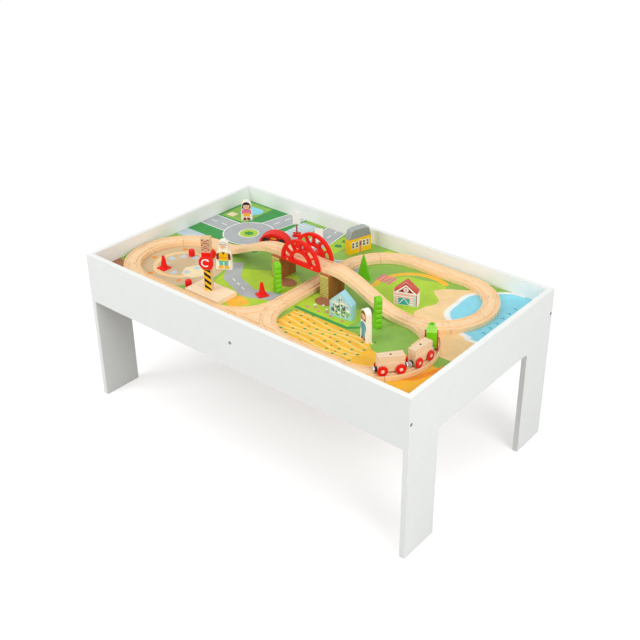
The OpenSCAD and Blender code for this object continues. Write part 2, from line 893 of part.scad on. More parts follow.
// A body between the wheels with a cab at the rear, and a round-topped boiler with a bored chimney in front
module loco_body() {
    color(green) on_rails(loco_a) difference() {
        union() {
            translate([0, loco_w / 2, 0]) rotate([90, 0, 0]) linear_extrude(loco_w) polygon([
                [-wagon_l / 2, wagon_z], [wagon_l / 2, wagon_z], [wagon_l / 2, loco_deck_z],
                [cab_l - wagon_l / 2, loco_deck_z], [cab_l - wagon_l / 2, cab_top_z],
                [-wagon_l / 2, cab_top_z]
            ]);
            translate([cab_l - wagon_l / 2, 0, loco_deck_z]) rotate([90, 0, 90]) linear_extrude(boiler_l)
                boiler_shape();
            at_chimney() cylinder(d = chimney_d, h = chimney_h);
        }
        axle_bores(loco_w);
        at_chimney() translate([0, 0, chimney_h / 2])
            cylinder(d = chimney_d * chimney_bore_share, h = chimney_h);
    }
}

module boiler_shape() {
    crown_d = boiler_w + boiler_h / 2;
    intersection() {
        translate([0, boiler_h - crown_d / 2]) circle(d = crown_d);
        translate([-boiler_w / 2, 0]) square([boiler_w, boiler_h]);
    }
}

module at_chimney() {
    translate([wagon_l / 2 - boiler_l / 3, 0, loco_deck_z]) children();
}

// Car

module at_car() {
    translate([car_shares[0] * tray_l / 2, car_shares[1] * tray_w / 2, 0]) rotate(car_turn) children();
}

// Side view of the car: a round back over a flat sill
module car_side() {
    intersection() {
        translate([-car_l / 2, board_z + car_sill]) square([car_l, car_h - car_sill]);
        translate([0, board_z + car_h - car_dome_r]) circle(r = car_dome_r, $fn = 120);
    }
}

// Body with a wheel arch cut into each side at every wheel
module car_body() {
    arch_in = car_wheel_t + car_arch_gap;
    color(red) at_car() difference() {
        translate([0, car_w / 2, 0]) rotate([90, 0, 0]) linear_extrude(car_w) car_side();
        for (end = [-1, 1]) translate([end * car_wheelbase / 2, 0, car_axle_z]) rotate([90, 0, 0]) {
            for (side = [-1, 1])
                translate([0, 0, side * (car_w - arch_in + over) / 2 - (arch_in + over) / 2])
                    cylinder(d = car_wheel_d + 2 * car_arch_gap, h = arch_in + over);
            translate([0, 0, -car_w / 2]) cylinder(d = car_axle_d + 2 * running, h = car_w);
        }
    }
}

module car_wheelset(end) {
    color(black) at_car() translate([end * car_wheelbase / 2, 0, car_axle_z]) rotate([90, 0, 0]) {
        translate([0, 0, -car_w / 2]) cylinder(d = car_axle_d, h = car_w);
        for (side = [-1, 1])
            translate([0, 0, side * (car_w - car_wheel_t) / 2 - car_wheel_t / 2])
                cylinder(d = car_wheel_d, h = car_wheel_t);
    }
}

module car_front_wheels() { car_wheelset(1); }
module car_rear_wheels() { car_wheelset(-1); }

// Scenery

// Places that scenery is set out from
function from_tray(shares) = [shares[0] * tray_l / 2, shares[1] * tray_w / 2];
function from_left_loop(shares) = [left_x, -curve_r] + curve_r * shares;
function from_crossing(shares) = [centre_x, 0] + curve_r * shares;
function from_front_loop(shares) = [right_x, -curve_r] + curve_r * shares;
function from_back_loop(shares) = [right_x, curve_r] + curve_r * shares;

// Stands its child on the board at a place, turned about the upright axis
module stand(place, turn) {
    translate([place[0], place[1], board_z]) rotate(turn) children();
}

// Raises an upright outline to a thickness, centred on the place that it stands at
module cutout(t) {
    translate([0, t / 2, 0]) rotate([90, 0, 0]) linear_extrude(t) children();
}

// Outline of a figure: a round head, round shoulders and a body that widens to the feet
module figure_shape(w, h, head_r) {
    half_w = w * figure_shoulder_share / 2;
    shoulder_r = w / 4;
    neck_h = h * figure_neck_share;
    translate([0, h - head_r]) circle(r = head_r);
    translate([-head_r, neck_h - shoulder_r]) square([2 * head_r, h - head_r - neck_h + shoulder_r]);
    for (side = [-1, 1])
        translate([side * (half_w - shoulder_r), neck_h - shoulder_r]) circle(r = shoulder_r);
    polygon([
        [-w / 2, 0], [w / 2, 0], [half_w, neck_h - shoulder_r], [half_w - shoulder_r, neck_h],
        [shoulder_r - half_w, neck_h], [-half_w, neck_h - shoulder_r]
    ]);
}

module girl_figure() {
    color(pale_wood) stand(from_tray(girl_shares), girl_turn) cutout(cutout_t)
        figure_shape(girl_w, girl_h, girl_w * figure_head_share);
}

module worker_figure() {
    color(pale_wood) stand(from_left_loop(worker_shares), worker_turn) cutout(cutout_t)
        figure_shape(worker_w, worker_h, worker_w * worker_head_share);
}

module lady_figure() {
    color(pale_wood) stand(from_front_loop(lady_shares), lady_turn) cutout(cutout_t)
        figure_shape(lady_w, lady_h, lady_w * figure_head_share);
}

// A poplar: a column of round lobes on a flat foot
module poplar() {
    lobe_r = poplar_w / 2;
    step = (poplar_h - lobe_r) / (poplar_lobes - 1 / 2);
    color(green) cutout(cutout_t) intersection() {
        union() {
            for (i = [0 : poplar_lobes - 1])
                translate([0, step / 2 + i * step]) circle(r = lobe_r);
            translate([-poplar_w * poplar_trunk_share / 2, 0])
                square([poplar_w * poplar_trunk_share, poplar_h - lobe_r]);
        }
        translate([-poplar_w / 2, 0]) square([poplar_w, poplar_h]);
    }
}

module left_poplar() { stand(from_crossing(left_poplar_shares), left_poplar_turn) poplar(); }
module right_poplar() { stand(from_front_loop(right_poplar_shares), right_poplar_turn) poplar(); }

module pointed_tree() {
    tip = fir_w * fir_tip_share;
    color(green) stand(from_crossing(fir_shares), fir_turn) cutout(cutout_t)
        polygon([[-fir_w / 2, 0], [fir_w / 2, 0], [tip / 2, fir_h], [-tip / 2, fir_h]]);
}

module gable_shape(w, h, eave) {
    polygon([[-w / 2, 0], [w / 2, 0], [w / 2, eave], [0, h], [-w / 2, eave]]);
}

module blue_house() {
    color("lightblue") stand(from_front_loop(blue_shares), blue_turn) cutout(blue_t)
        gable_shape(blue_w, blue_h, blue_h * blue_eave_share);
}

module barn() {
    color("firebrick") stand(from_back_loop(barn_shares), barn_turn) cutout(barn_t)
        gable_shape(barn_w, barn_h, barn_h * barn_eave_share);
}

// The yellow house has a roof that breaks at its knees and is level along its ridge
module yellow_house() {
    eave = yellow_h * yellow_eave_share;
    knee = [yellow_l * yellow_knee_shares[0], eave + (yellow_h - eave) * yellow_knee_shares[1]];
    ridge = yellow_l * yellow_ridge_share;
    color("gold") stand(from_tray(yellow_shares), yellow_turn) cutout(yellow_t)
        polygon([
            [-yellow_l / 2, 0], [yellow_l / 2, 0], [yellow_l / 2, eave], knee, [ridge, yellow_h],
            [-ridge, yellow_h], [-knee[0], knee[1]], [-yellow_l / 2, eave]
        ]);
}

// A road sign: a board on a pole on a foot
module road_sign() {
    foot_h = sign_h * sign_base_share;
    board_t = sign_w * sign_board_t_share;
    color("white") {
        translate([-sign_w / 2, -sign_w / 2, 0]) cube([sign_w, sign_w, foot_h]);
        cylinder(d = sign_w * sign_pole_share, h = sign_h - sign_board_h / 2);
        translate([-sign_w / 2, -board_t / 2, sign_h - sign_board_h]) cube([sign_w, board_t, sign_board_h]);
    }
}

module tall_sign() { stand(from_tray(tall_sign_shares), sign_turn) road_sign(); }
module small_sign() { stand(from_tray(small_sign_shares), sign_turn) road_sign(); }

// A cone on its square base
module road_cone() {
    color(red) {
        translate([-cone_w / 2, -cone_w / 2, 0]) cube([cone_w, cone_w, cone_h * cone_foot_share]);
        cylinder(r1 = cone_w * cone_low_share, r2 = cone_w * cone_tip_share, h = cone_h);
    }
}

// A barrel: two tapers that meet at the belly
module barrel() {
    end_d = barrel_d * barrel_end_share;
    color(red) {
        cylinder(d1 = end_d, d2 = barrel_d, h = barrel_h / 2);
        translate([0, 0, barrel_h / 2]) cylinder(d1 = barrel_d, d2 = end_d, h = barrel_h / 2);
    }
}

module near_cone() { stand(from_crossing(near_cone_shares), near_cone_turn) road_cone(); }
module loop_cone() {
    inside_x = left_x - curve_r + track_w / 2;
    platform_end = platform_x - platform_l / 2;
    x = inside_x + (platform_end - inside_x) * loop_cone_share;
    stand([x, curve_r * loop_cone_y_share - curve_r], 0) road_cone();
}
module back_barrel() { stand(from_left_loop(back_barrel_shares), 0) barrel(); }
module front_barrel() {
    x = platform_x - platform_l / 2 - front_barrel_gap - barrel_d / 2;
    stand([x, platform_y + platform_w * front_barrel_y_share], 0) barrel();
}

front_apron();
back_apron();
left_end_panel();
right_end_panel();
play_board();
board_ledgers();
cross_rail();
panel_bolts();
barrel_nuts();
panel_dowels();
left_curves();
front_right_curves();
back_right_curves();
back_left_curves();
straight_tracks();
front_switch();
right_switch();
left_ramp();
right_ramp();
bridge_deck();
bridge_piers();
front_arch();
back_arch();
arch_pins();
crane_platform();
crane_mast();
crane_hub();
crane_head();
winch_discs();
loco_body();
loco_couplers();
loco_front_wheels();
loco_rear_wheels();
wagon_a_body();
wagon_a_couplers();
wagon_a_front_wheels();
wagon_a_rear_wheels();
wagon_b_body();
wagon_b_couplers();
wagon_b_front_wheels();
wagon_b_rear_wheels();
car_body();
car_front_wheels();
car_rear_wheels();
girl_figure();
worker_figure();
lady_figure();
left_poplar();
right_poplar();
pointed_tree();
blue_house();
barn();
yellow_house();
tall_sign();
small_sign();
near_cone();
loop_cone();
back_barrel();
front_barrel();
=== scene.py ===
"""Looks of a wooden train table: finishes, printed board, printed toys, studio light and camera.

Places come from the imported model, in metres. Outlines and small sizes are written in millimetres
in a piece's own upright frame: x across its front, z up from its foot, front towards minus y.
"""

import json
import logging
import math
from collections.abc import Callable, Sequence
from dataclasses import dataclass
from enum import Enum

import bmesh
import bpy
from mathutils import Matrix, Vector
from mathutils.geometry import delaunay_2d_cdt

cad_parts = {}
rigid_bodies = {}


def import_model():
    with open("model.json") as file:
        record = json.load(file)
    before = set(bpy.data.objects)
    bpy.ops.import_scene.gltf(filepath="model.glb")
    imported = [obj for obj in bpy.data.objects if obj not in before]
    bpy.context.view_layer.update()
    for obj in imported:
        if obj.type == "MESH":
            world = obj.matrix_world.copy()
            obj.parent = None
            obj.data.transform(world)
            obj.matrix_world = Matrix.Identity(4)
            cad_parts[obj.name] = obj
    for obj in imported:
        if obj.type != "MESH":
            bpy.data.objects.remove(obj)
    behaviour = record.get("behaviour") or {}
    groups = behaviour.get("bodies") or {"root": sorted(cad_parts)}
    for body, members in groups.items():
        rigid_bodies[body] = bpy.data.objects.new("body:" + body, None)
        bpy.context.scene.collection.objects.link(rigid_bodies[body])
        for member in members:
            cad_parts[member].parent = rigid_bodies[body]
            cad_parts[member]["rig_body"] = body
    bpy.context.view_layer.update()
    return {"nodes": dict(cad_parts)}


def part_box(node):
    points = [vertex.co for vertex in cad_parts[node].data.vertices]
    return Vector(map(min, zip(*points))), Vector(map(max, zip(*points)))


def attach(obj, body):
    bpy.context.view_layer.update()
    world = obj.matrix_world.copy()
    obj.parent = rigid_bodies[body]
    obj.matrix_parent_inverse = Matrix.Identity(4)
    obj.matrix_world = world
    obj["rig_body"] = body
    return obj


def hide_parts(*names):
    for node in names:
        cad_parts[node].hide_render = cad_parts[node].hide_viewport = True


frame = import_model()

MM = 0.001
WELD = 0.002 * MM
FLAT_UNDER = math.radians(0.6)
SHARP_OVER = math.radians(35)
SMOOTH_UNDER = math.radians(38)
NOISE_LOW = 0.3
NOISE_HIGH = 0.7
LOG = logging.getLogger("train_table")

Point = tuple[float, float]
Outline = list[Point]
Colour = tuple[float, float, float, float]
Socket = bpy.types.NodeSocket
Shape = bmesh.types.BMesh
Mesh = bpy.types.Mesh


# Finishes


def linear(code: str, gain: float = 1.0) -> Colour:
    """Turns a colour as seen on screen into the light it reflects.

    Args:
        code: Six hex digits of the seen colour.
        gain: Share by which the reflected light is raised or lowered.

    Returns:
        Linear red, green and blue with full opacity.
    """
    seen = [int(code[i : i + 2], 16) / 255 for i in (0, 2, 4)]
    light = [c / 12.92 if c <= 0.04045 else ((c + 0.055) / 1.055) ** 2.4 for c in seen]
    return (*(min(1.0, c * gain) for c in light), 1.0)


class Mixer:
    """A node tree, with short calls for the nodes that finishes share."""

    def __init__(self, owner: bpy.types.Material | bpy.types.World) -> None:
        """Starts on the node tree of a material or of the world.

        Args:
            owner: The material or the world.
        """
        owner.use_nodes = True
        self.owner = owner
        self.tree = owner.node_tree

    @classmethod
    def fresh(cls, name: str) -> "Mixer":
        """Starts a new material."""
        return cls(bpy.data.materials.new(name))

    @property
    def shader(self) -> bpy.types.Node:
        """The surface shader of a material."""
        return self.tree.nodes["Principled BSDF"]

    def feed(self, socket: Socket, value: object) -> None:
        """Links a socket to another one, or sets its own value."""
        if isinstance(value, Socket):
            self.tree.links.new(value, socket)
        else:
            socket.default_value = value

    def add(self, kind: str, inputs: dict, output: int = 0, **settings: object) -> Socket:
        """Adds one node.

        Args:
            kind: Blender's name of the node type.
            inputs: Sockets to set or to link, by name or number.
            output: Number of the output that is wanted.
            **settings: Properties of the node.

        Returns:
            The wanted output socket.
        """
        node = self.tree.nodes.new(kind)
        for key, value in settings.items():
            setattr(node, key, value)
        for key, value in inputs.items():
            self.feed(node.inputs[key], value)
        return node.outputs[output]

    def coords(self) -> Socket:
        """Places on the piece in its own frame."""
        return self.add("ShaderNodeTexCoord", {}, output=3)

    def noise(self, place: Socket, scale: float, detail: float = 3, twist: float = 0) -> Socket:
        """Cloudy noise at a scale per metre."""
        inputs = {"Vector": place, "Scale": scale, "Detail": detail, "Distortion": twist}
        return self.add("ShaderNodeTexNoise", inputs)

    def stretch(self, place: Socket, scale: Sequence[float]) -> Socket:
        """Scales the places along each axis."""
        return self.add("ShaderNodeMapping", {"Vector": place, "Scale": scale})

    def math(self, operation: str, *values: object) -> Socket:
        """One operation on values or sockets."""
        return self.add("ShaderNodeMath", dict(enumerate(values)), operation=operation)

    def span(
        self, value: Socket, low: float, high: float, start: float = NOISE_LOW, end: float = NOISE_HIGH
    ) -> Socket:
        """Maps a value from start and end to low and high."""
        return self.add("ShaderNodeMapRange", {0: value, 1: start, 2: end, 3: low, 4: high})

    def ramp(self, value: Socket, *stops: tuple[float, Colour]) -> Socket:
        """Colours a value by stops from dark to light.

        Args:
            value: The value to colour.
            *stops: Place and colour of each stop.

        Returns:
            The colour socket.
        """
        colour = self.add("ShaderNodeValToRGB", {0: value})
        elements = colour.node.color_ramp.elements
        while len(elements) < len(stops):
            elements.new(1.0)
        for element, (place, shade) in zip(elements, stops):
            element.position = place
            element.color = shade
        return colour

    def blend(self, share: Socket, first: object, second: object) -> Socket:
        """Mixes two colours by a share."""
        return self.add("ShaderNodeMix", {0: share, 6: first, 7: second}, output=2, data_type="RGBA")

    def rim(self, radius: float, most: float) -> Socket:
        """How much of an edge a place is: nothing on a flat, the most on a sharp edge."""
        soft = self.add("ShaderNodeBevel", {"Radius": radius}, samples=3)
        own = self.add("ShaderNodeNewGeometry", {}, output=1)
        same = self.add("ShaderNodeVectorMath", {0: soft, 1: own}, output=1, operation="DOT_PRODUCT")
        flat, sharp = 0.99, 0.8
        return self.span(same, 0.0, most, flat, sharp)

    def finish(
        self, colour: Socket, roughness: Socket, height: Socket, strength: float, depth: float
    ) -> bpy.types.Material:
        """Joins colour, roughness and bump to the shader.

        Args:
            colour: Colour socket.
            roughness: Roughness socket.
            height: Height of the bump.
            strength: Strength of the bump.
            depth: Depth of the bump, in metres.

        Returns:
            The finished material.
        """
        bump = self.add("ShaderNodeBump", {"Strength": strength, "Distance": depth, "Height": height})
        self.feed(self.shader.inputs["Base Color"], colour)
        self.feed(self.shader.inputs["Roughness"], roughness)
        self.feed(self.shader.inputs["Normal"], bump)
        return self.owner


@dataclass(frozen=True)
class Finish:
    """A named surface finish. Its material is made once and shared."""

    name: str

    @property
    def label(self) -> str:
        """Name of the finish's material, apart from the names of the record's slots."""
        return "finish_" + self.name

    def material(self) -> bpy.types.Material:
        """The finish's material."""
        return bpy.data.materials.get(self.label) or self.mix()

    def mix(self) -> bpy.types.Material:
        """Makes the material."""
        raise NotImplementedError


@dataclass(frozen=True)
class Paint(Finish):
    """Paint, plastic or printing ink: one colour that drifts a little, with a painted highlight along the
    edges.
    """

    colour: str
    roughness: float = 0.42
    drift: float = 0.06
    # edge is the gain of the painted highlight along the edges.
    edge: float = 1.25
    bump: float = 0.12
    scale: float = 700.0
    metallic: float = 0.0
    coat: float = 0.0
    shine: float = 0.25
    coat_roughness: float = 0.15
    patches: float = 38.0
    # Width and share of the painted highlight along the edges.
    painted_edge_light_width: float = 1.2
    painted_edge_light_share: float = 0.55
    gloss_drift: float = 0.07
    bump_depth: float = 0.2

    def mix(self) -> bpy.types.Material:
        """Makes the material."""
        m = Mixer.fresh(self.label)
        place = m.coords()
        fine = m.noise(place, self.scale, 2)
        low, high = linear(self.colour, 1 - self.drift), linear(self.colour, 1 + self.drift)
        tone = m.ramp(m.noise(place, self.patches), (NOISE_LOW, low), (NOISE_HIGH, high))
        # Painted highlight: the edges are drawn lighter than the face.
        painted_edge_light = m.rim(self.painted_edge_light_width * MM, self.painted_edge_light_share)
        colour = m.blend(painted_edge_light, tone, linear(self.colour, self.edge))
        m.shader.inputs["Metallic"].default_value = self.metallic
        m.shader.inputs["Specular IOR Level"].default_value = self.shine
        m.shader.inputs["Coat Weight"].default_value = self.coat
        m.shader.inputs["Coat Roughness"].default_value = self.coat_roughness
        rough = m.span(fine, self.roughness - self.gloss_drift, self.roughness + self.gloss_drift)
        return m.finish(colour, rough, fine, self.bump, self.bump_depth * MM)


class Grain(Enum):
    """Which way the grain of a timber runs in a piece's own frame."""

    ALONG_X = (1.0, 17.0, 16.0)
    ALONG_Y = (16.0, 1.0, 17.0)
    UPRIGHT = (17.0, 16.0, 1.0)


@dataclass(frozen=True)
class Timber(Finish):
    """Bare or lacquered wood with streaked grain. On a loop of curves each piece has its own grain."""

    light: str
    dark: str
    grain: Grain = Grain.ALONG_X
    loop: Point | None = None
    roughness: float = 0.48
    band_scale: float = 13.0
    band_twist: float = 1.2
    band_stops: tuple[float, float, float] = (0.28, 0.46, 0.7)
    streak_scale: float = 9.0
    streak_share: float = 0.45
    streak_span: Point = (0.5, 0.75)
    board_share: float = 0.3
    # Painted shade along the edges and in the grooves: its width, share and darkness.
    painted_edge_light_width: float = 1.4
    painted_edge_light_share: float = 0.5
    edge_shade_gain: float = 0.62
    shine: float = 0.3
    gloss_drift: Point = (0.08, 0.1)
    bump: float = 0.18
    bump_depth: float = 0.25

    def mix(self) -> bpy.types.Material:
        """Makes the material."""
        m = Mixer.fresh(self.label)
        place = m.coords()
        board = None
        if self.loop:
            place, board = self.cut_up(m, place)
        bands = m.noise(m.stretch(place, self.grain.value), self.band_scale, 5, self.band_twist)
        streaks = m.noise(m.stretch(place, [s * s for s in self.grain.value]), self.streak_scale)
        pale, deep = linear(self.light), linear(self.dark)
        between = tuple((a * 2 + b) / 3 for a, b in zip(pale, deep))
        tone = m.ramp(bands, *zip(self.band_stops, (deep, between, pale)))
        colour = m.blend(m.span(streaks, 0.0, self.streak_share, *self.streak_span), tone, deep)
        if board:
            colour = m.blend(m.span(board, 0.0, self.board_share, 0.0, 1.0), colour, between)
        # Painted shade: the edges and grooves are drawn darker than the face.
        painted_edge_light = m.rim(self.painted_edge_light_width * MM, self.painted_edge_light_share)
        colour = m.blend(painted_edge_light, colour, linear(self.dark, self.edge_shade_gain))
        m.shader.inputs["Specular IOR Level"].default_value = self.shine
        low, high = self.gloss_drift
        rough = m.span(streaks, self.roughness - low, self.roughness + high)
        return m.finish(colour, rough, streaks, self.bump, self.bump_depth * MM)

    def cut_up(self, m: Mixer, place: Socket) -> tuple[Socket, Socket]:
        """Turns the grain with each eighth of a loop.

        Args:
            m: The material's tree.
            place: Places on the piece.

        Returns:
            The turned places, and a chance value for each eighth.
        """
        eighth = math.pi / 4
        centre = (*self.loop, 0)
        out = m.add("ShaderNodeVectorMath", {0: place, 1: centre}, operation="SUBTRACT")
        split = m.add("ShaderNodeSeparateXYZ", {0: out}).node
        angle = m.math("ARCTAN2", split.outputs[1], split.outputs[0])
        number = m.math("FLOOR", m.math("DIVIDE", angle, eighth))
        turn = m.math("MULTIPLY_ADD", number, -eighth, -eighth / 2 - math.pi / 2)
        turned = m.add("ShaderNodeVectorRotate", {"Vector": out, "Angle": turn}, rotation_type="Z_AXIS")
        return turned, m.add("ShaderNodeTexWhiteNoise", {"W": number}, noise_dimensions="1D")


class Inks:
    """The colours of the printed board and of the printed toys."""

    GRASS = Paint("ink_grass", "8FBC52", 0.5)
    LIME = Paint("ink_lime", "B2D63C", 0.5)
    LEAF = Paint("ink_leaf", "3E9A4A", 0.5)
    ROAD = Paint("ink_road", "B4B9BA", 0.55)
    LINE = Paint("ink_line", "F4F5F0", 0.5)
    EARTH = Paint("ink_earth", "D6BE96", 0.52)
    CREAM = Paint("ink_cream", "F8E6B8", 0.5)
    CLAY = Paint("ink_clay", "A9714F", 0.52)
    STONE = Paint("ink_stone", "C3D5DA", 0.5)
    CORN = Paint("ink_corn", "F9BE3A", 0.5)
    STRAW = Paint("ink_straw", "F6DA7C", 0.5)
    SAND = Paint("ink_sand", "FAD69E", 0.5)
    WATER = Paint("ink_water", "8FDDF0", 0.45)
    DEEP = Paint("ink_deep", "4FA9C6", 0.45)
    PINK = Paint("ink_pink", "EA7396", 0.5)
    ORANGE = Paint("ink_orange", "F2952E", 0.5)
    SKIN = Paint("ink_skin", "F7C9A4", 0.5)
    BLACK = Paint("ink_black", "26211F", 0.5)
    BROWN = Paint("ink_brown", "7A4A2C", 0.5)
    MAROON = Paint("ink_maroon", "8E2A24", 0.5)
    TEAL = Paint("ink_teal", "3FA9AE", 0.5)
    MINT = Paint("ink_mint", "66C7B4", 0.5)
    YELLOW = Paint("ink_yellow", "F9C61F", 0.5)
    GREY = Paint("ink_grey", "8F9694", 0.5)
    SLATE = Paint("ink_slate", "5F6B6B", 0.5)
    ROSE = Paint("ink_rose", "F3B9B5", 0.5)
    SKY = Paint("ink_sky", "B2DCE6", 0.5)
    OLIVE = Paint("ink_olive", "B2A852", 0.5)
    MUSTARD = Paint("ink_mustard", "DBD080", 0.5)


class Coats:
    """Paints, plastics, metals and timbers of the solid pieces."""

    PANEL = Paint("panel_white", "F5F7F4", 0.4, 0.01, 1.03, 0.06, 420.0)
    HARDBOARD = Paint("hardboard", "B7A48C", 0.7, 0.1)
    RED = Paint("toy_red", "F01A10", 0.45, 0.05, 1.1, 0.1)
    DARK_RED = Paint("toy_dark_red", "A32019", 0.4, 0.06, 1.2)
    GREEN = Paint("toy_green", "7CD018", 0.38, 0.06, 1.2)
    LIGHT_GREEN = Paint("toy_light_green", "9BE04A", 0.38, 0.06, 1.1)
    # Painted shade for the inside of the chimney bore.
    BORE_SHADE_GREEN = Paint("painted_bore_shade_green", "2F7D17", 0.4)
    FIR = Paint("toy_fir_green", "6CC41C", 0.4, 0.06, 1.15)
    BLUE = Paint("toy_light_blue", "A9DCEB", 0.4, 0.05, 1.08)
    YELLOW = Paint("toy_yellow", "FBC618", 0.38, 0.05, 1.1)
    ROOF = Paint("toy_roof_grey", "A9B2B0", 0.42, 0.05, 1.1)
    BARN = Paint("barn_roof_red", "D0564A", 0.45, 0.05, 1.1)
    ORANGE = Paint("toy_orange", "F58A1E", 0.4)
    WHITE = Paint("toy_white", "F9FAF7", 0.4, 0.02, 1.02)
    WHEEL = Paint("wheel_red", "E51710", 0.3, 0.05, 1.15, 0.05, coat=0.15)
    # Pale hub caps, partly a painted highlight on the glossy wheel.
    CAP_AND_HIGHLIGHT = Paint("hub_cap_and_painted_highlight", "F3D9D3", 0.25, 0.04, 1.0, 0.03, metallic=0.15)
    BLACK = Paint("coupler_black", "1D1C1C", 0.3, 0.15, 1.6, coat=0.3)
    TYRE = Paint("tyre_black", "2A2828", 0.62, 0.15, 1.5)
    MAGNET = Paint("magnet_steel", "DADBDD", 0.28, 0.08, 1.1, 0.05, 900.0, 0.2)
    BOLT = Paint("bolt_steel", "77787B", 0.36, 0.12, 1.3, 0.1, 900.0, 1.0)
    ZINC = Paint("nut_zinc", "C2C4C7", 0.34, 0.08, 1.2, 0.1, 900.0, 1.0)
    POLE = Paint("sign_pole", "A4553E", 0.45, 0.08, 1.2)
    # Painted shade for the inside of a bored hole.
    HOLE_SHADE = Paint("painted_hole_shade", "6B4A33", 0.8, 0.15, 1.0)
    TRACK = Timber("track_wood", "FFE0B6", "F2C68E")
    PLATFORM = Timber("platform_wood", "FFE9C8", "F8D8AE")
    WAGON = Timber("wagon_wood", "F6DDBB", "E2B98C")
    PINE = Timber("pine", "EBCB9B", "CFA069")
    PINE_ACROSS = Timber("pine_across", "EBCB9B", "CFA069", Grain.ALONG_Y)
    PIER = Timber("pier_wood", "B4713A", "8A4C1E", Grain.UPRIGHT)
    PIN = Timber("pin_wood", "F9D9CB", "EDBFA8", Grain.ALONG_Y)
    FIGURE = Timber("figure_wood", "FFFBF0", "FAF1DF", Grain.UPRIGHT)
    MAST = Timber("mast_wood", "F0CFA2", "DCAE79", Grain.UPRIGHT)


# Outlines on a flat face, in millimetres


def arc(x: float, y: float, r: float, start: float, end: float, count: int = 12) -> Outline:
    """Points along a circle from one angle to another, in degrees."""
    angles = [math.radians(start + (end - start) * i / count) for i in range(count + 1)]
    return [(x + r * math.cos(a), y + r * math.sin(a)) for a in angles]


def ellipse(x: float, y: float, rx: float, ry: float | None = None, count: int = 20) -> Outline:
    """A closed ellipse, or a circle where one radius is given."""
    tall = (ry or rx) / rx
    return [(px, y + (py - y) * tall) for px, py in arc(x, y, rx, 0, 360, count)[:-1]]


def rect(x0: float, y0: float, x1: float, y1: float) -> Outline:
    """A rectangle between two corners."""
    return [(x0, y0), (x1, y0), (x1, y1), (x0, y1)]


def band(x: float, y: float, inner: float, outer: float, start: float = 0, end: float = 359.5) -> Outline:
    """A stretch of a ring between two angles, in degrees."""
    count = max(4, int(abs(end - start) / 7))
    return arc(x, y, outer, start, end, count) + arc(x, y, inner, end, start, count)


def blob(x: float, y: float, r: float, waves: int, depth: float, start: float = 0) -> Outline:
    """A round patch with a wavy edge."""
    turns = [2 * math.pi * i / (waves * 8) for i in range(waves * 8)]
    swell = [math.sin(waves * a + start) + 0.5 * math.sin(2 * a + 1) for a in turns]
    radii = [r * (1 + depth * s) for s in swell]
    return [(x + q * math.cos(a), y + q * math.sin(a)) for a, q in zip(turns, radii)]


def ribbon(path: Sequence[Point], width: float) -> Outline:
    """The outline of a strip that follows a path.

    Args:
        path: Points of the middle line.
        width: Width of the strip.

    Returns:
        The closed outline.
    """
    line = [Vector(p) for p in path]
    ways = [(b - a).normalized() for a, b in zip(line, line[1:])]
    sides = []
    for i, point in enumerate(line):
        way = (ways[max(0, i - 1)] + ways[min(i, len(ways) - 1)]).normalized()
        lean = max(0.5, way.dot(ways[min(i, len(ways) - 1)]))
        sides.append((point, Vector((-way.y, way.x)) * (width / 2 / lean)))
    left = [tuple(p + s) for p, s in sides]
    return left[::-1] + [tuple(p - s) for p, s in sides]


def dashes(path: Sequence[Point], width: float, dash: float, gap: float) -> list[Outline]:
    """Short strips set out along a path.

    Args:
        path: Points of the middle line.
        width: Width of a strip.
        dash: Length of a strip.
        gap: Space between two strips.

    Returns:
        One outline for each strip.
    """
    found = []
    for a, b in zip(path, path[1:]):
        start, way = Vector(a), Vector(b) - Vector(a)
        for i in range(int(way.length / (dash + gap))):
            low = start + way.normalized() * (i * (dash + gap) + gap / 2)
            found.append(ribbon([low, low + way.normalized() * dash], width))
    return found


def drawn_in(outline: Outline, by: float) -> Outline:
    """The same outline moved inwards by a distance, with as many points.

    Args:
        outline: Points in turn, anticlockwise.
        by: Distance to move inwards.

    Returns:
        The moved points.
    """
    count = len(outline)
    moved = []
    for i in range(count):
        here = Vector(outline[i])
        before = (here - Vector(outline[i - 1])).normalized()
        after = (Vector(outline[(i + 1) % count]) - here).normalized()
        first, second = Vector((-before.y, before.x)), Vector((-after.y, after.x))
        moved.append(tuple(here + (first + second) * (by / max(0.35, 1 + first.dot(second)))))
    return moved


def area_of(outline: Outline) -> float:
    """Area of an outline, above zero where it runs anticlockwise."""
    return sum(a[0] * b[1] - b[0] * a[1] for a, b in zip(outline, outline[1:] + outline[:1])) / 2


@dataclass(frozen=True)
class Region:
    """One patch of ink on a flat face. A later patch covers an earlier one."""

    ink: Finish
    outline: Outline


def inked(ink: Finish, outlines: Sequence[Outline]) -> list[Region]:
    """Patches of one ink."""
    return [Region(ink, outline) for outline in outlines]


def cut_face(outline: Outline, regions: Sequence[Region]) -> list[tuple[list[Point], int]]:
    """Cuts a flat face along the edges of its print.

    Args:
        outline: The face.
        regions: The patches printed on it, inside the outline.

    Returns:
        Triangles, each with the number of its top patch, from one, or zero where it is bare.
    """
    points, loops = [], []
    for loop in (outline, *(region.outline for region in regions)):
        loops.append(list(range(len(points), len(points) + len(loop))))
        points += [Vector(p) for p in (loop if area_of(loop) > 0 else loop[::-1])]
    spots, _, faces, _, _, origins = delaunay_2d_cdt(points, [], loops, 1, 1e-4)
    return [([tuple(spots[i]) for i in face], max(own)) for face, own in zip(faces, origins) if 0 in own]


# Solids


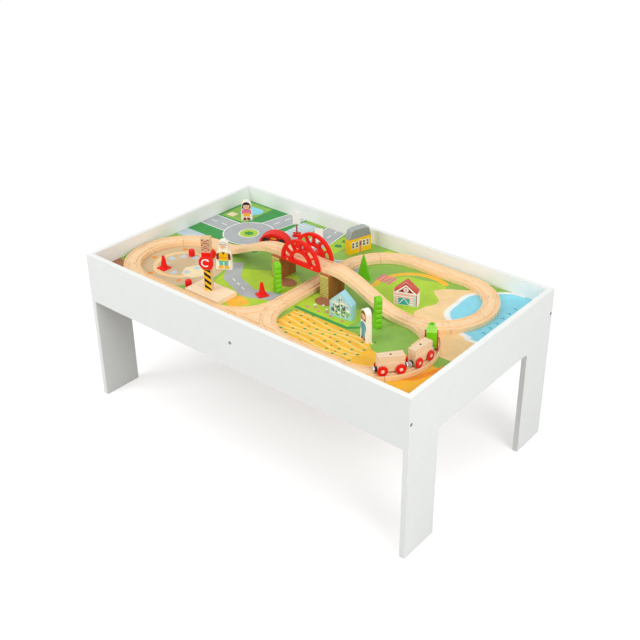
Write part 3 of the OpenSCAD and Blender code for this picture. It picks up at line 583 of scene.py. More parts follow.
@dataclass(frozen=True)
class Seat:
    """The own frame of a CAD node: where its foot stands, how it is turned and its sizes in millimetres."""

    place: Vector
    turn: float = 0.0
    width: float = 0.0
    depth: float = 0.0
    height: float = 0.0

    @classmethod
    def of(cls, node: str, turn: float = 0.0) -> "Seat":
        """Measures a CAD node.

        Args:
            node: Name of the node.
            turn: Its turn about the upright axis, in degrees.

        Returns:
            The node's own frame.
        """
        spin = Matrix.Rotation(math.radians(turn), 3, "Z")
        spots = [spin.inverted() @ v.co for v in frame["nodes"][node].data.vertices]
        low = Vector([min(p[i] for p in spots) for i in range(3)])
        high = Vector([max(p[i] for p in spots) for i in range(3)])
        middle = spin @ ((low + high) / 2)
        sizes = (high - low) / MM
        return cls(Vector((middle.x, middle.y, low.z)), turn, *sizes)

    @classmethod
    def world(cls) -> "Seat":
        """The frame of the whole table."""
        return cls(Vector((0, 0, 0)))

    def matrix(self) -> Matrix:
        """From the own frame to the table's frame."""
        return Matrix.Translation(self.place) @ Matrix.Rotation(math.radians(self.turn), 4, "Z")


def body_of(node: str) -> str:
    """The body that a CAD node belongs to."""
    return frame["nodes"][node]["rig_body"]


def place(
    mesh: Mesh, name: str, body: str, slot: str, seat: Seat, stands_for: Sequence[str] = ()
) -> bpy.types.Object:
    """Puts a finished mesh on its body and reports it.

    Args:
        mesh: The mesh, in its seat's own frame.
        name: Name of the piece.
        body: CAD body that it moves with.
        slot: The record's material slot; not used.
        seat: The piece's own frame.
        stands_for: CAD nodes that it stands for.

    Returns:
        The new piece.
    """
    piece = bpy.data.objects.new(name, mesh)
    bpy.context.scene.collection.objects.link(piece)
    piece.matrix_world = seat.matrix()
    mesh.set_sharp_from_angle(angle=SMOOTH_UNDER)
    piece.modifiers.new("even_normals", "WEIGHTED_NORMAL").keep_sharp = True
    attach(piece, body)
    if stands_for:
        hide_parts(*stands_for)
    LOG.info("%s rides on %s", name, body)
    return piece


def new_mesh(shape: Shape, name: str, finishes: Sequence[Finish]) -> Mesh:
    """Turns a built shape into a smooth mesh with its finishes."""
    mesh = bpy.data.meshes.new(name)
    shape.to_mesh(mesh)
    shape.free()
    for finish in finishes:
        mesh.materials.append(finish.material())
    mesh.shade_smooth()
    return mesh


class Block:
    """A piece sawn from board: an outline raised to a depth, with eased edges and printed faces."""

    round_share: float = 0.3

    def __init__(self, outline: Outline, depth: float, base: Finish, ease: float = 0.8) -> None:
        """Starts a bare block.

        Args:
            outline: The front, anticlockwise, in millimetres.
            depth: From front to back.
            base: Finish of bare faces.
            ease: Radius of the eased edges.
        """
        self.outline = outline
        self.depth = depth
        self.ease = ease
        self.finishes = [base]
        self.front: list[Region] = []
        self.back: list[Region] = []
        self.side_of: Callable[[Point], Finish] | None = None

    def number(self, finish: Finish) -> int:
        """The slot number of a finish on this block."""
        if finish not in self.finishes:
            self.finishes.append(finish)
        return self.finishes.index(finish)

    def cap(self, shape: Shape, outline: Outline, y: float, regions: Sequence[Region], flip: bool) -> None:
        """Closes one face with its print."""
        for corners, top in cut_face(outline, regions):
            around = corners[::-1] if flip else corners
            face = shape.faces.new([shape.verts.new((x * MM, y * MM, z * MM)) for x, z in around])
            face.material_index = self.number(regions[top - 1].ink) if top else 0

    def rings(self) -> list[tuple[float, Outline]]:
        """Depth and outline of each ring of the sides, from front to back."""
        half, ease = self.depth / 2, self.ease
        part = self.round_share * ease
        steps = [(half, ease), (half - part, part), (half - ease, 0.0)]
        near = [(-y, drawn_in(self.outline, by)) for y, by in steps]
        return near + [(y, drawn_in(self.outline, by)) for y, by in reversed(steps)]

    def mesh(self, name: str) -> Mesh:
        """Builds the block.

        Args:
            name: Name of the mesh.

        Returns:
            A closed mesh in the block's own frame.
        """
        shape = bmesh.new()
        rings = self.rings()
        loops = [[shape.verts.new((x * MM, y * MM, z * MM)) for x, z in ring] for y, ring in rings]
        count = len(self.outline)
        for near, far in zip(loops, loops[1:]):
            for i in range(count):
                after = (i + 1) % count
                side = shape.faces.new((near[i], near[after], far[after], far[i]))
                if self.side_of:
                    (x0, z0), (x1, z1) = self.outline[i], self.outline[after]
                    side.material_index = self.number(self.side_of(((x0 + x1) / 2, (z0 + z1) / 2)))
        self.cap(shape, rings[0][1], rings[0][0], self.front, False)
        self.cap(shape, rings[-1][1], rings[-1][0], self.back, True)
        bmesh.ops.remove_doubles(shape, verts=shape.verts, dist=WELD)
        bmesh.ops.recalc_face_normals(shape, faces=shape.faces)
        return new_mesh(shape, name, self.finishes)

    def stand_for(self, node: str, slot: str, seat: Seat, style: str) -> None:
        """Puts the finished block in its node's place.

        Args:
            node: CAD node that it stands for.
            slot: The record's material slot.
            seat: The node's own frame.
            style: Last word of the mesh's name.
        """
        place(self.mesh(f"{node}_{style}"), node + "_piece", body_of(node), slot, seat, [node])


Chooser = Callable[[list[Vector]], int]
EASE_SHARES = (1.0, 0.5, 0.0)
LEAST_KEPT = 0.96
MOST_KEPT = 1.0001


def ease_edges(shape: Shape, width: float, segments: int) -> None:
    """Rounds the sharp outer edges of a shape."""
    outer = [e for e in shape.edges if e.is_manifold and e.is_convex]
    edges = [e for e in outer if e.calc_face_angle(0) > SHARP_OVER]
    bmesh.ops.bevel(
        shape, geom=edges, offset=width, offset_type="OFFSET", segments=segments, profile=0.5,
        affect="EDGES", clamp_overlap=True,
    )


def eased(
    node: str, finishes: Sequence[Finish], slot: str, seat: Seat | None = None,
    width: float = 0.7, segments: int = 2, choose: Chooser | None = None,
) -> bpy.types.Object:
    """Carries a CAD node over with its sharp edges rounded.

    Args:
        node: Name of the node.
        finishes: Its finishes.
        slot: The record's material slot.
        seat: Its own frame, or none for the table's.
        width: Radius of the edges, in millimetres.
        segments: Steps round an edge.
        choose: Picks a finish by a face's corners, in millimetres.

    Returns:
        The piece that stands for the node.
    """
    seat = seat or Seat.world()
    source = frame["nodes"][node].data
    for share in EASE_SHARES:
        shape = bmesh.new()
        shape.from_mesh(source)
        bmesh.ops.transform(shape, matrix=seat.matrix().inverted(), verts=shape.verts)
        bmesh.ops.remove_doubles(shape, verts=shape.verts, dist=WELD)
        bmesh.ops.dissolve_limit(shape, angle_limit=FLAT_UNDER, verts=shape.verts, edges=shape.edges)
        full = shape.calc_volume()
        if share:
            ease_edges(shape, width * share * MM, segments)
        kept = shape.calc_volume()
        whole = LEAST_KEPT < kept / full < MOST_KEPT and all(e.is_manifold for e in shape.edges)
        if whole or not share:
            break
        shape.free()
    LOG.info("%s keeps %.4f of its volume, eased by %.2f mm", node, kept / full, width * share)
    if choose:
        for face in shape.faces:
            face.material_index = choose([v.co / MM for v in face.verts])
    for face in [f for f in shape.faces if len(f.verts) > 4]:
        bmesh.ops.triangulate(shape, faces=[face])
    mesh = new_mesh(shape, node + "_eased", finishes)
    return place(mesh, node + "_piece", body_of(node), slot, seat, [node])


def turned(profile: Sequence[Point], count: int = 32) -> Shape:
    """A round piece turned from its side view.

    Args:
        profile: Radius and height of each step, in millimetres, from the lower to the upper end.
        count: Steps round the axis.

    Returns:
        A closed shape about the upright axis.
    """
    shape = bmesh.new()
    rings = [(arc(0, 0, r * MM, 0, 360, count)[:-1], z * MM) for r, z in profile]
    loops = [[shape.verts.new((x, y, z)) for x, y in ring] for ring, z in rings]
    for low, high in zip(loops, loops[1:]):
        for i in range(count):
            shape.faces.new((low[i], low[(i + 1) % count], high[(i + 1) % count], high[i]))
    shape.faces.new(loops[0][::-1])
    shape.faces.new(loops[-1])
    return shape


# Table


@dataclass
class TableFrame:
    """White side boards, the pine under the board and the fasteners."""

    head_r: float = 4.0
    head_t: float = 2.5
    shank_r: float = 2.5
    shank_l: float = 44.0
    key_r: float = 2.0
    key_depth: float = 1.7
    panel_ease: float = 1.1
    pine_ease: float = 0.8
    dowel_ease: float = 0.5
    steel_ease: float = 0.4
    bolt_steps: int = 24

    def build(self) -> None:
        """Builds and dresses every piece of the frame."""
        for node in ("front_apron", "back_apron", "left_end_panel", "right_end_panel"):
            eased(node, [Coats.PANEL], "white_panel", width=self.panel_ease, segments=3)
        eased("board_ledgers", [Coats.PINE], "pine", width=self.pine_ease)
        eased("cross_rail", [Coats.PINE_ACROSS], "pine", width=self.pine_ease)
        eased("panel_dowels", [Coats.PINE], "pine", width=self.dowel_ease)
        eased("barrel_nuts", [Coats.ZINC], "nut_steel", width=self.steel_ease)
        self.bolts()

    def bolts(self) -> None:
        """Bolts with a round head and a key socket, where the CAD bolts are."""
        whole = bmesh.new()
        for spot, way in self.bolt_places():
            bolt = self.bolt()
            turn = Vector((0, 0, 1)).rotation_difference(way).to_matrix().to_4x4()
            bmesh.ops.transform(bolt, matrix=Matrix.Translation(spot) @ turn, verts=bolt.verts)
            part = bpy.data.meshes.new("bolt_part")
            bolt.to_mesh(part)
            bolt.free()
            whole.from_mesh(part)
            bpy.data.meshes.remove(part)
        mesh = new_mesh(whole, "panel_bolts_keyed", [Coats.BOLT])
        place(mesh, "panel_bolts_piece", "table", "bolt_steel", Seat.world(), ["panel_bolts"])

    def bolt_places(self) -> list[tuple[Vector, Vector]]:
        """Place of every head and the way it looks, out of its board."""
        low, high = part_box("panel_bolts")
        z = (low.z + high.z) / 2
        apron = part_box("front_apron")
        y = (apron[0].y + apron[1].y) / 2
        found = []
        for side in (-1, 1):
            along, across = Vector((side, 0, 0)), Vector((0, side, 0))
            found += [(Vector((side * high.x, end * y, z)), along) for end in (-1, 1)]
            found.append((Vector((0, side * high.y, z)), across))
        return found

    def bolt(self) -> Shape:
        """One bolt below its head's face, which looks up."""
        shank, head, ease = self.shank_r, self.head_r, self.steel_ease
        profile = [(shank - ease, -self.shank_l), (shank, ease - self.shank_l), (shank, -self.head_t)]
        profile += [(head, -self.head_t), (head, -ease), (head - ease, 0.0), (self.key_r + ease, 0.0)]
        shape = turned(profile, self.bolt_steps)
        top = max(shape.faces, key=lambda f: f.calc_center_median().z)
        rim = list(top.verts)
        shape.faces.remove(top)
        loops = [rim]
        side = math.pi / 3
        for depth in (0.0, self.key_depth):
            ring = []
            for vert in rim:
                angle = math.atan2(vert.co.y, vert.co.x)
                flat = math.cos(side / 2) / math.cos(angle % side - side / 2)
                r = self.key_r * flat * MM
                ring.append(shape.verts.new((r * math.cos(angle), r * math.sin(angle), -depth * MM)))
            loops.append(ring)
        for outer, inner in zip(loops, loops[1:]):
            for i in range(len(outer)):
                after = (i + 1) % len(outer)
                shape.faces.new((outer[i], outer[after], inner[after], inner[i]))
        shape.faces.new(loops[-1])
        return shape


@dataclass
class PlayBoard:
    """The play board, printed with a made-up stretch of town, fields and water."""

    margin: float = 0.6
    edge: float = 0.15
    street_w: float = 56.0
    line_w: float = 3.0
    street_dash: Point = (20.0, 17.0)
    ring_at: Point = (-318.0, 112.0)
    ring_r: float = 66.0
    island_r: float = 24.0
    yard_at: Point = (-321.0, -119.0)
    yard_r: float = 108.0
    beyond: Point = (500.0, 300.0)
    reach: Point = (0.0, 0.0)

    def build(self) -> None:
        """Builds the board with its print on top."""
        low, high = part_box("play_board")
        half_x, half_y = high.x / MM, high.y / MM
        thick = (high.z - low.z) / MM
        self.reach = (half_x - self.margin, half_y - self.margin)
        block = Block(rect(-half_x, -half_y, half_x, half_y), thick, Coats.HARDBOARD, self.edge)
        held = [Region(r.ink, self.kept(r.outline)) for r in self.regions()]
        block.front = [r for r in held if abs(area_of(r.outline)) > 1]
        mesh = block.mesh("play_board_printed")
        mesh.transform(Matrix.Rotation(math.radians(-90), 4, "X"))
        middle = Seat(Vector((0, 0, (low.z + high.z) / 2)))
        place(mesh, "play_board_piece", "table", "play_print", middle, ["play_board"])

    def kept(self, outline: Outline) -> Outline:
        """Holds an outline inside the board."""
        far_x, far_y = self.reach
        return [(max(-far_x, min(far_x, x)), max(-far_y, min(far_y, y))) for x, y in outline]

    def regions(self) -> list[Region]:
        """Every patch of the print, from the ground up."""
        far_x, far_y = self.beyond
        ground = [Region(Inks.GRASS, rect(-far_x, -far_y, far_x, far_y))]
        return ground + self.meadows() + self.town() + self.yard() + self.field() + self.lake()

    def meadows(self) -> list[Region]:
        """Broad lawns and paths in the middle."""
        lawns = [blob(-85, -105, 118, 5, 0.07), blob(205, 105, 92, 6, 0.06)]
        lawns += [rect(28, -104, 178, -22), rect(20, 215, 130, 262)]
        hedge = [(30, -101), (180, -101), (215, -70)]
        lane = [(-226, -28), (-178, -92), (-96, -122), (-24, -92)]
        flower_bed = blob(-88, -168, 26, 4, 0.12)
        # Clay brown patches on the board beside the piers.
        clay_patches_by_piers = [ellipse(-60, -27, 26, 20), ellipse(68, -41, 26, 20)]
        pink = [ellipse(52 + 17 * i, -84 + 9 * (i % 2), 4) for i in range(7)]
        white = [ellipse(60 + 17 * i, -66 + 9 * (i % 2), 3.4) for i in range(6)]
        return [
            *inked(Inks.LIME, lawns),
            Region(Inks.LEAF, ribbon(hedge, 9)),
            Region(Inks.ROAD, ribbon(lane, 40)),
            *inked(Inks.LINE, dashes(lane[1:3], self.line_w, 13, 11)),
            Region(Inks.CORN, flower_bed),
            *inked(Inks.CLAY, clay_patches_by_piers),
            *inked(Inks.PINK, pink),
            *inked(Inks.LINE, white),
        ]

    def street(self, path: Sequence[Point]) -> list[Region]:
        """A street with edge lines and a dashed middle line."""
        return [
            Region(Inks.LINE, ribbon(path, self.street_w + 2 * self.line_w)),
            Region(Inks.ROAD, ribbon(path, self.street_w)),
            *inked(Inks.LINE, dashes(path, self.line_w, *self.street_dash)),
        ]

    def town(self) -> list[Region]:
        """Streets round a ring, with lawns, a pond and parking bays, at the back left."""
        x, y = self.ring_at
        far_x, far_y = self.beyond
        streets = [[(-far_x, y), (x, y), (-60, 92), (40, 150)], [(x, y), (x + 30, far_y)]]
        streets.append([(-128, 98), (-152, far_y)])
        island, kerb = self.island_r, self.line_w
        rings = ((Inks.LINE, self.ring_r + kerb), (Inks.ROAD, self.ring_r))
        rings += ((Inks.LINE, island + kerb), (Inks.LIME, island))
        bays = [rect(-252, 165 + 14 * i, -222, 167.4 + 14 * i) for i in range(6)]
        crossing = [rect(-75 + 8 * i, 62, -71 + 8 * i, 118) for i in range(5)]
        bushes = ((-440, 60), (-395, 62), (-236, 44), (-90, 200), (-92, 232))
        found = [Region(Inks.LEAF, rect(-far_x, 30, -250, far_y))]
        found.append(Region(Inks.GRASS, rect(-456, 150, -372, 260)))
        for path in streets:
            found += self.street(path)
        return found + [
            *(Region(ink, ellipse(x, y, r)) for ink, r in rings),
            Region(Inks.LEAF, blob(x, y, 11, 6, 0.15)),
            Region(Inks.STONE, rect(-252, 158, -196, 252)),
            *inked(Inks.LINE, bays),
            Region(Inks.WATER, blob(-410, 216, 30, 3, 0.1)),
            Region(Inks.CREAM, rect(-448, 160, -424, 182)),
            Region(Inks.LIME, rect(-112, 160, -70, 250)),
            *inked(Inks.LINE, crossing),
            *inked(Inks.LEAF, [blob(*bush, 9, 5, 0.14) for bush in bushes]),
        ]

    def yard(self) -> list[Region]:
        """A works yard inside the left loop, and bare earth in the left corner."""
        x, y = self.yard_at
        found = [
            Region(Inks.CLAY, blob(-462, -262, 74, 4, 0.08)),
            Region(Inks.STONE, rect(-self.beyond[0], -6, -396, 34)),
            Region(Inks.EARTH, ellipse(x, y, self.yard_r, count=40)),
            Region(Inks.SAND, band(x, y, 58, 70)),
            Region(Inks.CREAM, arc(x + 52, y - 6, 34, 0, 360, 6)[:-1]),
        ]
        tiles = ((Inks.STONE, 44, 11, 9, 45), (Inks.ORANGE, 82, 8, 6, 0))
        for ink, circle_r, tile_r, count, start in tiles:
            for spot in arc(x, y, circle_r, 12, 372, count)[:-1]:
                found.append(Region(ink, arc(*spot, tile_r, start, start + 360, 4)[:-1]))
        return found

    def field(self) -> list[Region]:
        """A ploughed field with rows of plants at the front right."""
        far_x, far_y = self.beyond
        found = [
            Region(Inks.CORN, rect(40, -far_y, far_x, -108)),
            Region(Inks.GRASS, blob(292, -92, 46, 3, 0.08)),
        ]
        rows, row_gap, plants, plant_gap, sway = 8, 15, 11, 22, 5
        for row in range(rows):
            y = -120 - row_gap * row
            path = [(46 + plant_gap * i, y + sway * math.sin(0.9 * i + row)) for i in range(plants)]
            found.append(Region(Inks.STRAW, ribbon(path, 5.5)))
            plant_spots, stone_spots = path[row % 2 :: 2], path[1 + row % 3 :: 5]
            found += inked(Inks.LEAF, [blob(px, py + 7, 3.2, 4, 0.2) for px, py in plant_spots])
            found += inked(Inks.CLAY, [ellipse(px, py + 7, 2.6, count=10) for px, py in stone_spots])
        return found + [Region(Inks.ORANGE, ribbon([(330, -230), (410, -170), (440, -90)], 14))]

    def lake(self) -> list[Region]:
        """A sandy shore round a lake at the back right, with reeds and ripples."""
        far_x, far_y = self.beyond
        found = [
            Region(Inks.SAND, blob(352, 120, 118, 5, 0.06)),
            Region(Inks.SAND, rect(330, -70, far_x, 90)),
            Region(Inks.LINE, blob(420, 150, 122, 7, 0.035, 1.0)),
            Region(Inks.LINE, rect(404, 20, far_x, far_y)),
            Region(Inks.WATER, blob(422, 152, 112, 7, 0.035, 1.0)),
            Region(Inks.WATER, rect(414, 30, far_x, far_y)),
            Region(Inks.LIME, blob(196, 100, 70, 6, 0.07)),
            Region(Inks.CORN, band(196, 119, 84, 99, 60, 200)),
        ]
        found += inked(Inks.PINK, [rect(92 + 11 * i, 118, 99 + 11 * i, 152) for i in range(4)])
        for i in range(18):
            x, y = 424 + 15 * (i % 3), 66 + 27 * (i // 3) + 9 * (i % 3)
            found.append(Region(Inks.DEEP, ribbon([(x - 5, y), (x, y + 5), (x + 5, y)], 3.0)))
        return found


# Railway


@dataclass
class Railway:
    """Grooved track of pale wood, each piece with its own grain."""

    edge: float = 0.9
    left_until: float = 0.05

    def build(self) -> None:
        """Dresses every track."""
        for node in ("straight_tracks", "front_switch", "right_switch", "left_ramp", "right_ramp"):
            eased(node, [Coats.TRACK], "track_wood", width=self.edge)
        for node in ("left_curves", "front_right_curves", "back_right_curves", "back_left_curves"):
            timber = Timber(node + "_wood", Coats.TRACK.light, Coats.TRACK.dark, loop=self.centre(node))
            eased(node, [timber], "track_wood", width=self.edge)

    def centre(self, node: str) -> Point:
        """The turning centre of a run of curves, from the straights that it joins."""
        low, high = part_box(node)
        loop_low, loop_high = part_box("left_curves")
        loop_r = (loop_high.y - loop_low.y) / 2
        middle = (low + high) / 2
        y = low.y + loop_r if middle.y < 0 else high.y - loop_r
        x = low.x + loop_r if middle.x < self.left_until else high.x - loop_r
        return (x, y)


@dataclass
class Bridge:
    """Deck, brick-printed piers, red fan arches and their pins."""

    brick_l: float = 11.0
    brick_h: float = 6.4
    mortar: float = 1.1
    print_edge: float = 1.4
    ease: float = 0.9
    pin_ease: float = 0.4

    def build(self) -> None:
        """Builds and dresses the bridge."""
        eased("bridge_deck", [Coats.TRACK], "track_wood", width=self.ease)
        for node in ("front_arch", "back_arch"):
            eased(node, [Coats.RED], "red_paint", width=self.ease, segments=3)
        eased("arch_pins", [Coats.PIN], "pin_wood", width=self.pin_ease)
        self.piers()

    def piers(self) -> None:
        """Two brown piers with bricks printed on both ends."""
        low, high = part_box("bridge_piers")
        middle = (low.x + high.x) / 2
        thick = max(v.co.x for v in frame["nodes"]["bridge_piers"].data.vertices if v.co.x < middle) - low.x
        for name, x in (("left", low.x + thick / 2), ("right", high.x - thick / 2)):
            wide, tall, deep = thick / MM, (high.z - low.z) / MM, (high.y - low.y) / MM
            block = Block(rect(-wide / 2, 0, wide / 2, tall), deep, Coats.PIER, self.ease)
            block.front = block.back = self.bricks(wide, tall)
            seat = Seat(Vector((x, 0, low.z)), 0.0, wide, deep, tall)
            stands_for = ["bridge_piers"] if name == "left" else []
            mesh = block.mesh(name + "_pier_bricks")
            place(mesh, name + "_pier_piece", "table", "pier_wood", seat, stands_for)

    def bricks(self, wide: float, tall: float) -> list[Region]:
        """Courses of olive brick on a mustard ground."""
        edge = self.print_edge
        found = [Region(Inks.MUSTARD, rect(edge - wide / 2, edge, wide / 2 - edge, tall - edge))]
        rows = int((tall - 2 * edge) / self.brick_h)
        for row in range(rows):
            z = edge + self.mortar + row * self.brick_h
            start = -wide / 2 + edge - (row % 2) * self.brick_l / 2
            for column in range(4):
                x0 = max(start + column * self.brick_l, edge - wide / 2) + self.mortar / 2
                x1 = min(start + (column + 1) * self.brick_l, wide / 2 - edge) - self.mortar / 2
                if x1 - x0 > self.mortar:
                    found.append(Region(Inks.OLIVE, rect(x0, z, x1, z + self.brick_h - self.mortar)))
        return found


@dataclass
class Crane:
    """Platform, striped mast, red hub, printed head and the winch with its turning arrow."""

    turn: float = 32.0
    stripe: float = 8.0
    first_stripe: float = 4.0
    lattice: float = 12.0
    bar: float = 1.5
    rung: float = 1.2
    rung_gap: float = 0.6
    brace_inset: Point = (1.0, 1.4)
    mast_edge: float = 1.2
    head_edge: float = 1.3
    ease: float = 0.9
    mast_ease: float = 0.8
    disc_ease: float = 1.2
    arrow_span: Point = (55.0, 310.0)
    arrow_radii: tuple[float, float, float] = (0.43, 0.51, 0.6)
    arrow_tip: tuple[Point, ...] = ((-0.16, -0.1), (0.24, -0.2), (0.06, 0.2))
    arrow_t: float = 0.5
    arrow_ease: float = 0.12

    def build(self) -> None:
        """Builds and dresses the crane."""
        eased("crane_platform", [Coats.PLATFORM], "track_wood", width=self.ease)
        self.mast()
        eased("crane_hub", [Coats.RED], "red_paint", Seat.of("crane_hub", self.turn), self.ease)
        self.head()
        self.winch()

    def mast(self) -> None:
        """Square mast with slanting black bands on a yellow front."""
        seat = Seat.of("crane_mast", self.turn)
        w, h, edge = seat.width, seat.height, self.mast_edge
        block = Block(rect(-w / 2, 0, w / 2, h), seat.depth, Coats.MAST, self.mast_ease)
        face = rect(edge - w / 2, edge, w / 2 - edge, h - edge)
        block.front = [Region(Inks.YELLOW, face)]
        for i in range(-1, 6):
            low = i * 2 * self.stripe + self.first_stripe
            x, fall, wide = w / 2 - edge, w / 3, self.stripe
            sloped = [(-x, low + fall), (x, low - fall), (x, low - fall + wide), (-x, low + fall + wide)]
            held = [(x, max(edge, min(h - edge, z))) for x, z in sloped]
            if max(z for _, z in held) - min(z for _, z in held) > 1:
                block.front.append(Region(Inks.BLACK, held))
        block.stand_for("crane_mast", "hazard_paint", seat, "striped")

    def head(self) -> None:
        """Head block with a printed lattice on its front and back."""
        seat = Seat.of("crane_head", self.turn)
        w, h, edge = seat.width, seat.height, self.head_edge
        block = Block(rect(-w / 2, 0, w / 2, h), seat.depth, Coats.MAST, self.mast_ease)
        x0, x1 = edge - w / 2, w / 2 - edge
        gap, (inset, lift) = self.rung_gap, self.brace_inset
        face = [Region(Inks.CLAY, rect(x0, edge, x1, h - edge))]
        for i in range(3):
            z0, z1 = edge + i * self.lattice, edge + (i + 1) * self.lattice - gap
            for a, b in ((x0 + inset, x1 - inset), (x1 - inset, x0 + inset)):
                face.append(Region(Inks.SKIN, ribbon([(a, z0 + lift), (b, z1 - lift)], self.bar)))
            face.append(Region(Inks.SKIN, rect(x0 + gap, z0, x1 - gap, z0 + self.rung)))
        block.front = block.back = face
        block.stand_for("crane_head", "lattice_print", seat, "printed")

    def winch(self) -> None:
        """Both discs with round edges, and a white arrow raised on the front one."""
        seat = Seat.of("winch_discs", self.turn)
        eased("winch_discs", [Coats.RED], "red_paint", seat, self.disc_ease, 3)
        r = seat.width / 2
        inner, middle, outer = (r * share for share in self.arrow_radii)
        start, end = self.arrow_span
        curve = band(0, 0, inner, outer, start, end)
        x, y = arc(0, 0, middle, start, start, 1)[0]
        tip = [(x + r * across, y + r * up) for across, up in self.arrow_tip]
        for name, outline in (("winch_arrow_ring", curve), ("winch_arrow_tip", tip)):
            around = outline if area_of(outline) > 0 else outline[::-1]
            mesh = Block(around, self.arrow_t, Coats.WHITE, self.arrow_ease).mesh(name)
            mesh.transform(Matrix.Translation((0, -seat.depth / 2 * MM, r * MM)))
            place(mesh, name, "winch", "sign_white", seat)


# Vehicles


@dataclass
class Train:
    """Locomotive and two plain wagons with red wheels and magnet couplers."""

    loco_turn: float = 34.03
    wagon_b_turn: float = -2.0
    wagon_a_turn: float = -38.03
    wheel_r: float = 11.25
    cap_and_highlight_r: float = 3.95
    skin: float = 1.0
    hole_r: float = 2.8
    chimney_x: float = 17.2
    bore_r: float = 4.5
    bore_depth: float = 2.0
    roof_t: float = 2.2
    boiler_drop: float = 11.5
    cab_front: float = -4.0
    magnet_l: float = 2.8
    magnet_tip: float = 0.3
    magnet_crown: float = 0.04
    magnet_shares: tuple[float, float, float] = (0.9, 1.02, 0.2)
    loco_ease: float = 1.0
    wagon_ease: float = 1.4
    wheel_ease: float = 0.7
    coupler_ease: float = 0.9

    def build(self) -> None:
        """Builds and dresses the three vehicles."""
        self.locomotive()
        wagons = [("wagon_b", self.wagon_b_turn), ("wagon_a", self.wagon_a_turn)]
        for name, angle in wagons:
            seat = Seat.of(name + "_body", angle + 90)
            coats, hole = [Coats.WAGON, Coats.HOLE_SHADE], self.bored(seat)
            eased(name + "_body", coats, "track_wood", seat, self.wagon_ease, 3, hole)
        for name, angle in [("loco", self.loco_turn), *wagons]:
            for end in ("front", "rear"):
                self.wheels(f"{name}_{end}_wheels", angle + 90)
            self.couplers(name, angle + 90)

    def bored(self, seat: Seat) -> Chooser:
        """Picks the painted shade inside the load hole."""

        def pick(spots: list[Vector]) -> int:
            """The wall and the floor of the hole get painted shade."""
            inside = all(math.hypot(p.x, p.y) < self.hole_r and p.z > self.wheel_r * 2 for p in spots)
            return int(inside and min(p.z for p in spots) < seat.height - self.skin)

        return pick

    def wheels(self, node: str, turn: float) -> None:
        """A wheelset with round tyres and pale hub caps, which also stand for a painted highlight."""
        seat = Seat.of(node, turn)
        inner = seat.depth / 2 - self.skin

        def pick(spots: list[Vector]) -> int:
            """Hub caps are pale, partly as a painted highlight."""
            near = all(math.hypot(p.x, p.z - self.wheel_r) < self.cap_and_highlight_r for p in spots)
            return int(near and all(abs(p.y) > inner for p in spots))

        eased(node, [Coats.WHEEL, Coats.CAP_AND_HIGHLIGHT], "wheel_red", seat, self.wheel_ease, 3, pick)

    def couplers(self, name: str, turn: float) -> None:
        """Black holders with a bright magnet in each end."""
        node = name + "_couplers"
        seat = Seat.of(node, turn)
        eased(node, [Coats.BLACK], "coupler_black", seat, self.coupler_ease, 3)
        r, back, tip = seat.height / 2, -self.magnet_l, self.magnet_tip
        rim, side_r, crown = (r * share for share in self.magnet_shares)
        steps = [(rim, back), (side_r, back + tip), (side_r, 0.0), (rim, tip)]
        steps.append((crown, tip + self.magnet_crown))
        for end, side in (("front", 1), ("rear", -1)):
            mesh = new_mesh(turned(steps), f"{name}_{end}_magnet", [Coats.MAGNET])
            mesh.transform(Matrix.Rotation(side * math.pi / 2, 4, "Y"))
            mesh.transform(Matrix.Translation((side * seat.width / 2 * MM, 0, r * MM)))
            place(mesh, f"{name}_{end}_magnet", name, "coupler_black", seat)

    def locomotive(self) -> None:
        """Green body with a light roof, a light boiler and a bored chimney with painted shade inside."""
        seat = Seat.of("loco_body", self.loco_turn + 90)
        roof, boiler = seat.height - self.roof_t, seat.height - self.boiler_drop

        def pick(spots: list[Vector]) -> int:
            """Light roofs, painted shade in the chimney bore and green walls."""
            low, far = min(p.z for p in spots), sum(p.x for p in spots) / len(spots)
            bored = all(math.hypot(p.x - self.chimney_x, p.y) < self.bore_r for p in spots)
            if bored and low > boiler - self.bore_depth:
                return 2
            return int(low > (roof if far < self.cab_front else boiler))

        coats = [Coats.GREEN, Coats.LIGHT_GREEN, Coats.BORE_SHADE_GREEN]
        eased("loco_body", coats, "loco_green", seat, self.loco_ease, 3, pick)


@dataclass
class Car:
    """A red car with a round back, a dark window and an orange badge on each side, and black wheels."""

    turn: float = 25.0
    window: Point = (31.0, 12.0)
    badge: Point = (17.0, 6.4)
    window_t: float = 0.5
    window_ease: float = 0.15
    body_ease: float = 1.6
    tyre_ease: float = 0.9

    def build(self) -> None:
        """Builds and dresses the car."""
        seat = Seat.of("car_body", self.turn)
        eased("car_body", [Coats.RED], "red_paint", seat, self.body_ease, 3)
        for end in ("front", "rear"):
            node = f"car_{end}_wheels"
            eased(node, [Coats.TYRE], "tyre_black", Seat.of(node, self.turn), self.tyre_ease, 3)
        window, badge = (ellipse(0, seat.height / 2, w / 2, h / 2, 28) for w, h in (self.window, self.badge))
        for name, side in (("near", -1), ("far", 1)):
            block = Block(window, self.window_t, Coats.DARK_RED, self.window_ease)
            block.front = block.back = [Region(Coats.ORANGE, badge)]
            mesh = block.mesh(name)
            mesh.transform(Matrix.Translation((0, side * seat.depth / 2 * MM, 0)))
            place(mesh, f"car_{name}_window", "car", "red_paint", seat)


# Scenery


class Hair(Enum):
    """How a figure wears its hair."""

    BOB = "bob"
    LONG = "long"
    HELMET = "helmet"


class Dress(Enum):
    """What a figure wears below the waist, with the height of its hem as a share of the figure's."""

    SKIRT = 0.23
    TROUSERS = 0.26
    GOWN = 0.13


